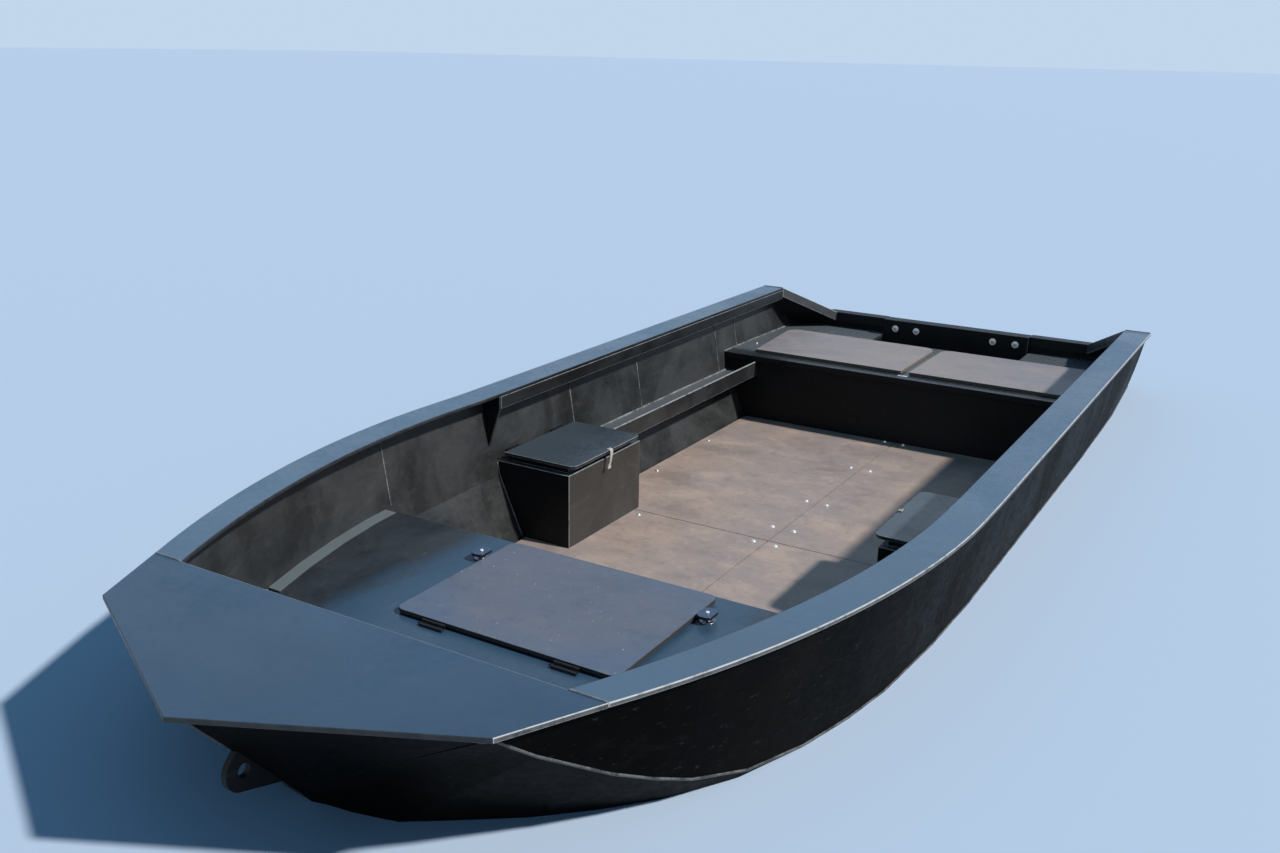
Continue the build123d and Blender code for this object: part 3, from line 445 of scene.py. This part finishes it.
FINISH = {
    "hull": plate("hull_plate", (0.002, 0.002, 0.002), (0.0065, 0.0065, 0.006), (0.01, 0.015, 0.02), 0.42,
                  scuffs=0.3, shine=0.02),
    "inner": plate("inner_plate", (0.014, 0.015, 0.015), (0.042, 0.044, 0.045), (0.06, 0.08, 0.10), 0.34,
                   hairs=0.28),
    "tray": plate("tray_plate", (0.014, 0.015, 0.015), (0.034, 0.036, 0.037), (0.115, 0.130, 0.145), 0.30,
                  scuffs=0.0),
    # shaded_plate: the black plate darkened for parts and faces that mostly stand in shade, a painted shade
    "dark": plate("shaded_plate", (0.004, 0.005, 0.0055), (0.008, 0.009, 0.010), (0.014, 0.022, 0.030), 0.42,
                  shine=0.2),
    "lip": plate("lip_plate", (0.006, 0.007, 0.008), (0.017, 0.020, 0.022), (0.03, 0.04, 0.05), 0.34,
                 shine=0.3),
    # cap_plate: a paler copy of the plate, a painted sky reflection on the corner caps' slopes
    "cap": plate("cap_plate", (0.060, 0.066, 0.072), (0.100, 0.108, 0.115), (0.080, 0.142, 0.210), 0.30),
    # rail_edge: real wear with a painted highlight where the rails' edges catch the light
    "rail_edge": edge_wear_and_painted_light("rail_edge", (0.52, 0.54, 0.55), 0.28, 0.52),
    "rail_cut": edge_wear_and_painted_light("rail_cut", (0.13, 0.135, 0.14)),
    "rail": plate("rail_plate", (0.030, 0.034, 0.038), (0.050, 0.055, 0.060), (0.072, 0.142, 0.225), 0.30,
                  scuffs=0.0),
    "fore": plate("foredeck_plate", (0.010, 0.013, 0.017), (0.018, 0.023, 0.029), (0.026, 0.074, 0.140), 0.30,
                  scuffs=0.0, shine=0.4),
    # The deck keeps its dust and painted sky sheen near the middle; outboard it fades
    "deck": plate("deck_plate", (0.012, 0.013, 0.014), (0.030, 0.033, 0.035), (0.036, 0.086, 0.146), 0.34,
                  scuffs=0.8, shine=0.4, trodden_and_sheen_fade=("Y", 0.46, 0.60), hairs=0.5),
    # The seat deck's dust and painted sky sheen fade on its front strip
    "seat_deck": plate("seat_deck_plate", (0.008, 0.009, 0.010), (0.016, 0.018, 0.020), (0.120, 0.140, 0.158),
                       0.20, shine=0.2, trodden_and_sheen_fade=("X", 1.76, 1.70)),
    "lid": plate("lid_plate", (0.016, 0.018, 0.020), (0.030, 0.033, 0.036), (0.052, 0.072, 0.090), 0.26,
                 scuffs=0.0),
    # box_plate: a paler, warmer copy of the plate, partly painted sunlight and warm bounce from the sole
    "box": plate("box_plate", (0.034, 0.032, 0.029), (0.062, 0.058, 0.052), (0.045, 0.060, 0.070), 0.42),
    # strip_plate: a paler copy of the plate, a painted highlight where the deck strips catch sun and sky
    "strip": plate("strip_plate", (0.05, 0.055, 0.06), (0.08, 0.09, 0.10), (0.150, 0.185, 0.200), 0.40,
                   hairs=0.5),
    "knob": plate("knob_plate", (0.006, 0.008, 0.010), (0.012, 0.016, 0.022), (0.030, 0.075, 0.150), 0.22),
    # Pale edges: real wear with a painted highlight where they catch the light
    "edge": edge_wear_and_painted_light("edge_wear_and_painted_light", (0.26, 0.28, 0.30)),
    "rim": edge_wear_and_painted_light("rim_edge", (0.36, 0.38, 0.39), 0.28, 0.55),
    "cut": edge_wear_and_painted_light("cut_edge", (0.24, 0.25, 0.25), 0.36, 0.66),
    "dark_edge": edge_wear_and_painted_light("dark_edge", (0.03, 0.034, 0.038)),
    # fore_edge: painted shade on the foredeck's edges that look forward
    "fore_edge": edge_wear_and_painted_light("foredeck_shaded_edge", (0.034, 0.038, 0.042), 0.40, 0.70),
    "weld": weld_bead("weld_bead", (0.020, 0.022, 0.024), (0.125, 0.130, 0.130)),
    "seam": weld_bead("seam_bead", (0.070, 0.076, 0.080), (0.260, 0.275, 0.280)),
    "sole": film_ply("sole_ply", (0.360, 0.298, 0.278), (0.475, 0.352, 0.280), (0.235, 0.188, 0.170),
                     blots=0.48, middle=0.5),
    "seat_ply": film_ply("seat_ply", (0.262, 0.242, 0.258), (0.305, 0.265, 0.255), (0.190, 0.168, 0.168),
                         blots=0.45, specks=0.5),
    "hatch_ply": film_ply("hatch_ply", (0.085, 0.135, 0.220), (0.136, 0.146, 0.180), (0.074, 0.092, 0.138),
                          blots=0.5, specks=0.5),
    "ply_edge": ply_edge("ply_edge", (0.26, 0.20, 0.15), (0.10, 0.07, 0.05)),
    "hatch_edge": ply_edge("hatch_edge", (0.060, 0.052, 0.046), (0.02, 0.018, 0.016)),
    "film_edge": edge_wear_and_painted_light("film_edge", (0.25, 0.23, 0.21)),
    "hatch_rim": edge_wear_and_painted_light("hatch_rim", (0.15, 0.15, 0.16), 0.46, 0.70),
    "bright": metal("screw_metal", (0.98, 0.97, 0.95), 0.40),
    "bright_metal": metal("bolt_metal", (0.70, 0.70, 0.68), 0.30),
    "latch_metal": metal("latch_metal", (0.30, 0.32, 0.35), 0.25),
    "black_steel": metal("black_steel", (0.045, 0.047, 0.05), 0.38),
    "strap": webbing("hasp_strap", (0.70, 0.67, 0.60)),
}


# Shapes
def cad_mesh(name):
    """A clean copy of a CAD node's mesh: shared corners joined, flat faces whole."""
    shape = bmesh.new()
    shape.from_mesh(NODES[name].data)
    bmesh.ops.remove_doubles(shape, verts=shape.verts, dist=SAME_CORNER)
    bmesh.ops.dissolve_limit(shape, angle_limit=math.radians(FLAT_ANGLE), verts=shape.verts,
                             edges=shape.edges)
    return shape


def place_mesh(name, shape, finishes, body="hull", smooth=PLATE_SMOOTH):
    """A mesh object that rides on a body, with its faces' materials."""
    mesh = bpy.data.meshes.new(name)
    shape.to_mesh(mesh)
    shape.free()
    for finish in finishes:
        mesh.materials.append(FINISH[finish])
    mesh.polygons.foreach_set("use_smooth", [True] * len(mesh.polygons))
    mesh.set_sharp_from_angle(angle=math.radians(smooth))
    piece = bpy.data.objects.new(name, mesh)
    bpy.context.scene.collection.objects.link(piece)
    normals = piece.modifiers.new("flat_faces", "WEIGHTED_NORMAL")
    normals.keep_sharp = True
    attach(piece, body)
    return piece


def round_edges(shape, width, material, flush=()):
    """Rounds the sharp edges, but for those at a flush joint's x, and gives the new faces a material."""
    sharp = [e for e in shape.edges if e.is_manifold and e.calc_face_angle(0) > math.radians(SHARP_ANGLE)
             and not any(all(abs(v.co.x - x) < SAME_PLANE for v in e.verts) for x in flush)]
    bmesh.ops.bevel(shape, geom=sharp, offset=width, segments=2, profile=0.5, affect="EDGES",
                    clamp_overlap=True, material=material)


def strip_width(face):
    """Width of a long narrow face."""
    return 2 * face.calc_area() / face.calc_perimeter()


def outer(face, number):
    """Faces of the hull's skin that look away from the boat's middle."""
    middle = face.calc_center_median()
    core = Vector((min(max(middle.x, CORE_AFT), CORE_FORE), 0, CORE_Z))
    return number == FACE and face.normal.dot(middle - core) > 0


def inboard(face, number):
    """Edge faces that look towards the centreline."""
    across = face.calc_center_median().y
    return number > FACE and face.normal.y * across < -EDGE_INBOARD * abs(across)


def forward_edge(face, number):
    """Edge faces that look forward rather than to the side; on the foredeck they take a painted shade."""
    return number > FACE and face.normal.x > EDGE_FORWARD * math.hypot(face.normal.x, face.normal.y)


def forward_wall(face, number):
    """Upright faces that look forward; on the lockers they take a painted shade."""
    return number == FACE and face.normal.x > WALL_FORWARD


def forward(face, number):
    """Faces and edge faces that lean forward; on the seat deck they take a painted shade."""
    return face.normal.x > ANY_FORWARD


def dress(name, face, edge, cut, width, slot, other=None, is_other=None):
    """A CAD node with its edges rounded and worn, its cut edges finished, and some faces finished apart."""
    shape = cad_mesh(name)
    for side in shape.faces:
        if is_other is not outer and strip_width(side) < CUT_WIDTH:
            side.material_index = CUT
    round_edges(shape, width, EDGE, (RAIL_JOINT,) if name.startswith("rail_") else ())
    for side in shape.faces:
        if other and is_other(side, side.material_index):
            side.material_index = OTHER
    finishes = (face, edge, cut, other or face)
    piece = place_mesh(name + "_dressed", shape, finishes, NODES[name]["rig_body"])
    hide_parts(name)
    return piece


def tube(shape, points, radius, ripple=WELD_RIPPLE):
    """Rippled weld bead along a line of points, half sunk in its corner."""
    path = [Vector(p) for p in points]
    stations = []
    for a, b in zip(path, path[1:]):
        count = max(1, round((b - a).length / (RIPPLE / 2)))
        stations += [a.lerp(b, i / count) for i in range(count)]
    stations.append(path[-1])
    rings = []
    for i, centre in enumerate(stations):
        along = (stations[min(i + 1, len(stations) - 1)] - stations[max(i - 1, 0)]).normalized()
        upright = Vector((0, 0, 1)) if abs(along.z) < 0.9 else Vector((1, 0, 0))
        across = along.cross(upright).normalized()
        over = across.cross(along)
        end = BEAD_END if i in (0, len(stations) - 1) else 1.0
        wave = (1.0 if i % 2 else 1.0 - ripple) + UNEVEN * noise.noise(centre * UNEVEN_SCALE)
        ring = []
        for k in range(BEAD_SIDES):
            turn = 2 * math.pi * k / BEAD_SIDES
            spoke = across * math.cos(turn) + over * math.sin(turn)
            ring.append(shape.verts.new(centre + spoke * radius * wave * end))
        rings.append(ring)
    for low, high in zip(rings, rings[1:]):
        for k in range(BEAD_SIDES):
            after = (k + 1) % BEAD_SIDES
            shape.faces.new((low[k], low[after], high[after], high[k]))
    shape.faces.new(list(reversed(rings[0])))
    shape.faces.new(rings[-1])


def lathe(shape, place, axis, profile, sides=20, material=0):
    """Turned form: (radius, height) pairs around an axis that starts at place."""
    axis = Vector(axis).normalized()
    across = axis.orthogonal().normalized()
    over = axis.cross(across)
    rings = []
    for radius, height in profile:
        ring = []
        for k in range(sides):
            turn = 2 * math.pi * k / sides
            spoke = across * math.cos(turn) + over * math.sin(turn)
            ring.append(shape.verts.new(Vector(place) + axis * height + spoke * radius))
        rings.append(ring)
    for low, high in zip(rings, rings[1:]):
        for k in range(sides):
            after = (k + 1) % sides
            face = shape.faces.new((low[k], low[after], high[after], high[k]))
            face.material_index = material
    for ring in (list(reversed(rings[0])), rings[-1]):
        shape.faces.new(ring).material_index = material


def pan_screw(shape, place, axis, radius, material=0):
    """Domed screw head with a socket."""
    dome = [(radius, 0), (radius, 0.22 * radius), (0.86 * radius, 0.48 * radius),
            (0.5 * radius, 0.66 * radius), (0.34 * radius, 0.68 * radius), (0.30 * radius, 0.42 * radius)]
    lathe(shape, place, axis, dome, 16, material)


def bolt(shape, place, axis, radius):
    """Washer with a hexagon head on it, in the mesh's first and second material."""
    thick = 0.22 * radius
    disc = [(1.9 * radius, 0), (1.9 * radius, thick * 0.8), (1.8 * radius, thick)]
    lathe(shape, place, axis, disc, 24)
    hexagon = [(radius, thick), (radius, thick + 0.58 * radius), (0.9 * radius, thick + 0.70 * radius)]
    lathe(shape, place, axis, hexagon, 6, 1)


SKINS = {}


def skin_point(node, origin, direction):
    """Where a ray first meets a CAD node."""
    if node not in SKINS:
        mesh = NODES[node].data
        SKINS[node] = BVHTree.FromPolygons([v.co for v in mesh.vertices], [p.vertices for p in mesh.polygons])
    return SKINS[node].ray_cast(Vector(origin), Vector(direction))[0]


def side_line(side, xs, z):
    """Points on the inside of a side plate, at one height."""
    sign = 1 if side == "port" else -1
    line = [skin_point("side_" + side, (x, 0, z), (0, sign, 0)) for x in xs]
    return [point for point in line if point]


def shared_line(first, second):
    """Outer seam of two CAD nodes, from the corner points that they share."""
    spots = {}
    for vertex in NODES[first].data.vertices:
        spots[tuple(round(v, 4) for v in vertex.co)] = vertex.co.copy()
    seam = {}
    for vertex in NODES[second].data.vertices:
        key = tuple(round(v, 4) for v in vertex.co)
        if key in spots:
            best = seam.get(key[0])
            if best is None or abs(vertex.co.y) > abs(best.y):
                seam[key[0]] = vertex.co.copy()
    return [seam[x] for x in sorted(seam)]


def steps(start, stop, count):
    """Even steps from start to stop, both ends included."""
    return [start + (stop - start) * i / count for i in range(count + 1)]


def rail_top(x):
    """Height of the rails' upper face, which rises towards the bow."""
    return RAIL_TOP + BOW_RISE * max(0.0, x - RAIL_JOINT)


# CAD nodes with rounded, worn edges
DRESSED = {
    # node: face, rounded edge, cut edge, edge width, slot, another finish and the faces that have it
    "bottom_port": ("inner", "dark_edge", "dark_edge", PLATE_EDGE, "black_plate", "hull", outer),
    "bottom_starboard": ("inner", "dark_edge", "dark_edge", PLATE_EDGE, "black_plate", "hull", outer),
    "side_port": ("inner", "dark_edge", "dark_edge", PLATE_EDGE, "black_plate", "hull", outer),
    "side_starboard": ("inner", "dark_edge", "dark_edge", PLATE_EDGE, "black_plate", "hull", outer),
    "transom": ("dark", "dark_edge", "dark_edge", PLATE_EDGE, "black_plate", "hull", outer),
    "corner_plates": ("dark", "dark_edge", "dark_edge", PLATE_EDGE, "black_plate", "hull", outer),
    "corner_caps": ("cap", "rail_edge", "cut", PLATE_EDGE, "black_plate"),
    "transom_caps": ("dark", "dark_edge", "dark_edge", PLATE_EDGE, "black_plate"),
    "rail_aft_port": ("rail", "rail_edge", "rail_cut", RAIL_EDGE, "black_plate", "lip", inboard),
    "rail_aft_starboard": ("rail", "rail_edge", "rail_cut", RAIL_EDGE, "black_plate", "lip", inboard),
    "rail_fore_port": ("rail", "rail_edge", "rail_cut", RAIL_EDGE, "black_plate", "dark_edge", inboard),
    "rail_fore_starboard": ("rail", "rail_edge", "rail_cut", RAIL_EDGE, "black_plate", "dark_edge", inboard),
    "rail_lips": ("lip", "edge", "dark_edge", PLATE_EDGE, "black_plate"),
    "rail_knees": ("dark", "dark_edge", "dark_edge", PLATE_EDGE, "black_plate"),
    # foredeck: edges that look forward take fore_edge, a painted shade
    "foredeck": ("fore", "rail_edge", "rail_cut", PLATE_EDGE, "black_plate", "fore_edge", forward_edge),
    "bow_deck": ("deck", "edge", "cut", PLATE_EDGE, "black_plate"),
    "bow_bulkhead": ("dark", "edge", "dark_edge", PLATE_EDGE, "black_plate"),
    "deck_strips": ("strip", "strip", "strip", STRIP_EDGE, "black_plate"),
    "hatch_coaming": ("dark", "dark_edge", "dark_edge", PLATE_EDGE, "black_plate"),
    "sole_frame": ("dark", "dark_edge", "dark_edge", PLATE_EDGE, "black_plate"),
    # Locker faces that look forward take the shaded plate: painted shade
    "box_port": ("box", "rim", "rim", PLATE_EDGE, "black_plate", "dark", forward_wall),
    "box_starboard": ("box", "rim", "rim", PLATE_EDGE, "black_plate", "dark", forward_wall),
    "box_lid_port": ("lid", "rim", "dark_edge", PLATE_EDGE, "black_plate"),
    "box_lid_starboard": ("lid", "rim", "dark_edge", PLATE_EDGE, "black_plate"),
    "tray_port": ("tray", "rim", "rim", PLATE_EDGE, "black_plate"),
    "tray_starboard": ("tray", "rim", "rim", PLATE_EDGE, "black_plate"),
    # Seat deck faces that lean forward take the shaded plate: painted shade
    "seat_deck": ("seat_deck", "dark_edge", "dark_edge", PLATE_EDGE, "black_plate", "dark", forward),
    "seat_wall": ("dark", "dark_edge", "dark_edge", PLATE_EDGE, "black_plate"),
    "motor_well": ("dark", "dark_edge", "dark_edge", PLATE_EDGE, "black_plate"),
    "motor_board": ("dark", "dark_edge", "dark_edge", PLATE_EDGE, "black_plate"),
    "bow_eye": ("dark", "dark", "dark", PLATE_EDGE, "black_plate"),
    "hinge_cleats": ("dark", "dark_edge", "dark_edge", CLEAT_EDGE, "black_plate"),
    "sole_aft_port": ("sole", "film_edge", "ply_edge", PLY_EDGE, "film_ply"),
    "sole_aft_starboard": ("sole", "film_edge", "ply_edge", PLY_EDGE, "film_ply"),
    "sole_fore_port": ("sole", "film_edge", "ply_edge", PLY_EDGE, "film_ply"),
    "sole_fore_starboard": ("sole", "film_edge", "ply_edge", PLY_EDGE, "film_ply"),
    "hatch_lid": ("hatch_ply", "hatch_rim", "hatch_edge", PLY_EDGE, "film_ply"),
    "seat_lid_port": ("seat_ply", "film_edge", "ply_edge", PLY_EDGE, "film_ply"),
    "seat_lid_starboard": ("seat_ply", "film_edge", "ply_edge", PLY_EDGE, "film_ply"),
}
for node, looks in DRESSED.items():
    dress(node, *looks)

HINGES = ("hinge_leaves_fixed", "hinge_leaves_hatch", "hinge_leaves_box_port", "hinge_leaves_box_starboard",
          "hinge_leaves_seat_port", "hinge_leaves_seat_starboard")
for node in HINGES:
    for place in NODES[node].material_slots:
        place.material = FINISH["black_steel"]


# Weld beads
def outer_welds():
    """Beads along the chine, the foredeck's underside, the transom's edges and the stem."""
    beads = bmesh.new()
    for side, sign in (("port", 1), ("starboard", -1)):
        tube(beads, shared_line("side_" + side, "bottom_" + side), WELD_R)
        shoulder = Vector((SHOULDER[0], sign * (SHOULDER[1] - SHOULDER_INSET), rail_top(SHOULDER[0]) - PLATE))
        tube(beads, [shoulder, (STEM_TOP[0], 0, rail_top(STEM_TOP[0]) - PLATE)], WELD_R)
        tube(beads, [(TRANSOM_FACE, sign * y, z) for y, z in TRANSOM_EDGE], WELD_R)
    foot, top = Vector((STEM_FOOT[0], 0, STEM_FOOT[1])), Vector((STEM_TOP[0], 0, STEM_TOP[1]))
    for low, high in STEM_BEADS:
        tube(beads, [foot.lerp(top, low), foot.lerp(top, high)], WELD_R)
    place_mesh("outer_welds", beads, ("weld",), smooth=WELD_SMOOTH)


def inner_welds():
    """Beads along decks, trays, lockers and rail joints, and the frames' welds that show on the sides."""
    seams = bmesh.new()
    for side, sign in (("port", 1), ("starboard", -1)):
        for x in FRAME_X:
            low = TRAY_TOP + TRAY_GAP if x < 0 else DECK_TOP + DECK_GAP
            high = LIP_LOW + LIP_COVER if x < LIP_FORE else rail_top(x) - PLATE - RAIL_GAP
            line = [skin_point("side_" + side, (x, 0, z), (0, sign, 0)) for z in steps(low, high, 6)]
            tube(seams, [p for p in line if p], SEAM_R, SEAM_RIPPLE)
        tube(seams, side_line(side, steps(*TRAY_SEAM), TRAY_TOP + SEAM_UP), TRAY_BEAD_R, SEAM_RIPPLE)
        tube(seams, side_line(side, steps(*SEAT_SEAM), SEAT_TOP + SEAM_UP), WELD_R, SEAM_RIPPLE)
        tube(seams, side_line(side, steps(*LOCKER_SEAM), LOCKER_SEAM_Z), SEAM_R, SEAM_RIPPLE)
        tube(seams, side_line(side, steps(*DECK_SEAM), DECK_TOP + SEAM_UP), SEAM_R, SEAM_RIPPLE)
        for x in LOCKER_ENDS:
            heights = [("bottom_", z) for z in steps(*LOCKER_LOW)]
            heights += [("side_", z) for z in steps(*LOCKER_HIGH)]
            line = [skin_point(skin + side, (x, 0, z), (0, sign, 0)) for skin, z in heights]
            tube(seams, [p for p in line if p], SEAM_R, SEAM_RIPPLE)
        joint = [(FOREDECK_AFT[0], sign * y, rail_top(FOREDECK_AFT[0]))
                 for y in (RAIL_FORE_IN + SEAM_INSET, FOREDECK_AFT[1] - SEAM_INSET)]
        tube(seams, joint, SEAM_R)
        cap = [(RAIL_AFT, sign * y, RAIL_TOP + JOINT_UP)
               for y in (RAIL_IN + SEAM_INSET, RAIL_OUT - SEAM_INSET)]
        tube(seams, cap, SEAM_R)
    place_mesh("inner_welds", seams, ("seam",), smooth=WELD_SMOOTH)


outer_welds()
inner_welds()


# Screws and bolts
def fasteners():
    """Screws of sole, seat and latches, and bolt heads on the motor board and the transom."""
    heads = bmesh.new()
    up = (0, 0, 1)
    spots = [(x, y) for x in SCREW_PAIRS_X for y in (-SCREW_PAIR_Y, SCREW_PAIR_Y)]
    spots += [(x, sign * y) for x, y in SIDE_SCREWS for sign in (1, -1)]
    for x, y in spots:
        lathe(heads, (x, y, SOLE_TOP - WASHER_SUNK), up, SOLE_WASHER)
        pan_screw(heads, (x, y, SOLE_TOP + WASHER_SUNK), up, SOLE_SCREW_R)
    for sign in (1, -1):
        pan_screw(heads, (SEAT_SCREW[0], sign * SEAT_SCREW[1], SEAT_TOP - SEAT_SCREW_SUNK), up, SEAT_SCREW_R)
        for x in (-FOOT_SCREW_OFF, FOOT_SCREW_OFF):
            pan_screw(heads, (LATCH_X + x, sign * LATCH_Y, DECK_TOP + LATCH_FOOT), up, FOOT_SCREW_R)
        pan_screw(heads, (LATCH_X, sign * LATCH_Y, CAP_SCREW_Z), up, CAP_SCREW_R)
    for y in BOARD_BOLTS:
        bolt(heads, (BOARD_FACE - BOARD_BOLT_SUNK, y, BOARD_BOLT_Z), (1, 0, 0), BOARD_BOLT_R)
        bolt(heads, (TRANSOM_FACE + BOARD_BOLT_SUNK, y, BOARD_BOLT_Z), (-1, 0, 0), BOARD_BOLT_R)
    place_mesh("fasteners", heads, ("bright", "bright_metal"), smooth=SCREW_SMOOTH)


fasteners()


# Turn latches of the hatch
def latches():
    """Steel foot and post, plastic cap: a rounded edge takes the finish of what it is on."""
    shape = cad_mesh("hatch_latches")
    for face in shape.faces:
        face.material_index = FACE if face.calc_center_median().z > LATCH_CAP_LOW else CUT
    round_edges(shape, LATCH_EDGE, EDGE)
    for face in shape.faces:
        if face.material_index == EDGE:
            on_cap = face.calc_center_median().z > LATCH_RIM_LOW
            face.material_index = FACE if on_cap else CUT
    piece = place_mesh("hatch_latches_dressed", shape, ("knob", "knob", "latch_metal"))
    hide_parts("hatch_latches")


latches()


# Hasps over the locker lids' inboard edges
def hasps():
    """A strap on each locker lid, bent down over its edge and held by a screw."""
    for side, sign in (("port", 1), ("starboard", -1)):
        strap = bmesh.new()
        path = [(Vector((HASP_X + HASP_LEAN * max(0.0, HASP_PATH[3][1] - z), sign * y, z)), width)
                for y, z, width in HASP_PATH]
        rings = []
        for i, (point, width) in enumerate(path):
            along = (path[min(i + 1, len(path) - 1)][0] - path[max(i - 1, 0)][0]).normalized()
            out = Vector((1, 0, 0)).cross(along) * sign
            half = HASP_T / 2
            rings.append([strap.verts.new(point + Vector((dx * width / 2, 0, 0)) + out * dz * half)
                          for dx, dz in ((-1, -1), (1, -1), (1, 1), (-1, 1))])
        for low, high in zip(rings, rings[1:]):
            for k in range(4):
                after = (k + 1) % 4
                strap.faces.new((low[k], low[after], high[after], high[k]))
        strap.faces.new(rings[0])
        strap.faces.new(list(reversed(rings[-1])))
        bmesh.ops.recalc_face_normals(strap, faces=strap.faces)
        round_edges(strap, HASP_EDGE, 0)
        lid_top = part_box("box_lid_" + side)[1].z
        pan_screw(strap, (HASP_X, sign * HASP_SCREW_Y, lid_top + HASP_SCREW_UP), (0, 0, 1), SMALL_SCREW_R, 1)
        place_mesh("hasp_" + side, strap, ("strap", "latch_metal"), "locker_lid_" + side)


hasps()


# Keeper plate on the seat's front edge, between the two lids
def seat_keeper():
    """A small rounded plate with a screw at each end."""
    shape = bmesh.new()
    bmesh.ops.create_cube(shape, size=1.0, matrix=Matrix.Translation((KEEPER_X, 0, SEAT_TOP + KEEPER_UP))
                          @ Matrix.Diagonal((*KEEPER_SIZE, 1)))
    round_edges(shape, KEEPER_EDGE, 0)
    for y in (-KEEPER_SCREW_Y, KEEPER_SCREW_Y):
        pan_screw(shape, (KEEPER_X, y, SEAT_TOP + KEEPER_SCREW_UP), (0, 0, 1), SMALL_SCREW_R)
    place_mesh("seat_keeper", shape, ("bright_metal",))


seat_keeper()


# Floor at the waterline, open where the hull stands in it
def waterline(nodes):
    """The hull's outline at the water, from the edges that cross it."""
    points = []
    for name in nodes:
        mesh = NODES[name].data
        for edge in mesh.edges:
            low, high = (mesh.vertices[i].co for i in edge.vertices)
            if (low.z <= 0) != (high.z <= 0):
                points.append(low.lerp(high, low.z / (low.z - high.z)).to_2d())
    outline = [points[i] for i in geometry.convex_hull_2d(points)]
    middle = sum(outline, Vector((0, 0))) / len(outline)
    return [p - (p - middle).normalized() * FLOOR_TUCK for p in outline]


def floor():
    """A wide flat floor, cut out where the hull stands in it."""
    corners = [FLOOR_REACH * Vector((x, y, 0)) for x, y in ((-1, -1), (1, -1), (1, 1), (-1, 1))]
    hole = [point.to_3d() for point in waterline(("bottom_port", "bottom_starboard", "side_port",
                                                  "side_starboard", "transom", "corner_plates"))]
    faces = geometry.tessellate_polygon([corners, hole])
    mesh = bpy.data.meshes.new("floor")
    mesh.from_pydata(corners + hole, [], faces)
    g = Graph("floor_paint")
    mesh.materials.append(g.finish(g.mix(g.seen(), FLOOR_BOUNCE, BACKDROP), FLOOR_ROUGH))
    ground = bpy.data.objects.new("floor", mesh)
    bpy.context.scene.collection.objects.link(ground)
    if mesh.polygons[0].normal.z < 0:
        mesh.flip_normals()


floor()


# Light: a sun from port and a dim blue sky
def lights():
    """The sun, and a world that lights with the sky but shows the backdrop."""
    sun = bpy.data.lights.new("sun", "SUN")
    sun.energy = SUN_STRENGTH
    sun.angle = math.radians(SUN_SPREAD)
    sun.color = SUN_TINT
    lamp = bpy.data.objects.new("sun", sun)
    lamp.rotation_euler = Vector(SUN_TO).to_track_quat("-Z", "Y").to_euler()
    bpy.context.scene.collection.objects.link(lamp)

    world = bpy.data.worlds.new("sky")
    bpy.context.scene.world = world
    world.use_nodes = True
    nodes, links = world.node_tree.nodes, world.node_tree.links
    fill = nodes["Background"]
    fill.inputs["Color"].default_value = (*SKY_TINT, 1.0)
    fill.inputs["Strength"].default_value = SKY_FILL
    seen = nodes.new("ShaderNodeBackground")
    seen.inputs["Color"].default_value = (*BACKDROP, 1.0)
    rays = nodes.new("ShaderNodeLightPath")
    looks = rays.outputs["Is Camera Ray"]
    for kind in ("Is Glossy Ray", "Is Transmission Ray"):
        join = nodes.new("ShaderNodeMath")
        join.operation = "MAXIMUM"
        links.new(looks, join.inputs[0])
        links.new(rays.outputs[kind], join.inputs[1])
        looks = join.outputs[0]
    mix = nodes.new("ShaderNodeMixShader")
    links.new(looks, mix.inputs[0])
    links.new(fill.outputs[0], mix.inputs[1])
    links.new(seen.outputs[0], mix.inputs[2])
    links.new(mix.outputs[0], nodes["World Output"].inputs["Surface"])


def camera():
    """The photograph's camera."""
    yaw, pitch, roll = (math.radians(a) for a in (CAMERA_YAW, CAMERA_PITCH, CAMERA_ROLL))
    level = Vector((-math.cos(yaw), math.sin(yaw), 0.0))
    ahead = (level * math.cos(pitch) + Vector((0, 0, math.sin(pitch)))).normalized()
    right = level.cross(Vector((0, 0, 1))).normalized()
    down = ahead.cross(right)
    right, down = (right * math.cos(roll) + down * math.sin(roll),
                   down * math.cos(roll) - right * math.sin(roll))
    lens = bpy.data.cameras.new("camera")
    lens.sensor_width = SENSOR_WIDTH
    lens.lens = FOCAL_PIXELS / IMAGE_WIDTH * lens.sensor_width
    view = bpy.data.objects.new("camera", lens)
    turn = Matrix((right, -down, -ahead)).transposed().to_4x4()
    view.matrix_world = Matrix.Translation(CAMERA_PLACE) @ turn
    bpy.context.scene.collection.objects.link(view)
    bpy.context.scene.camera = view


lights()
camera()
bpy.context.scene.view_settings.view_transform = "Standard"
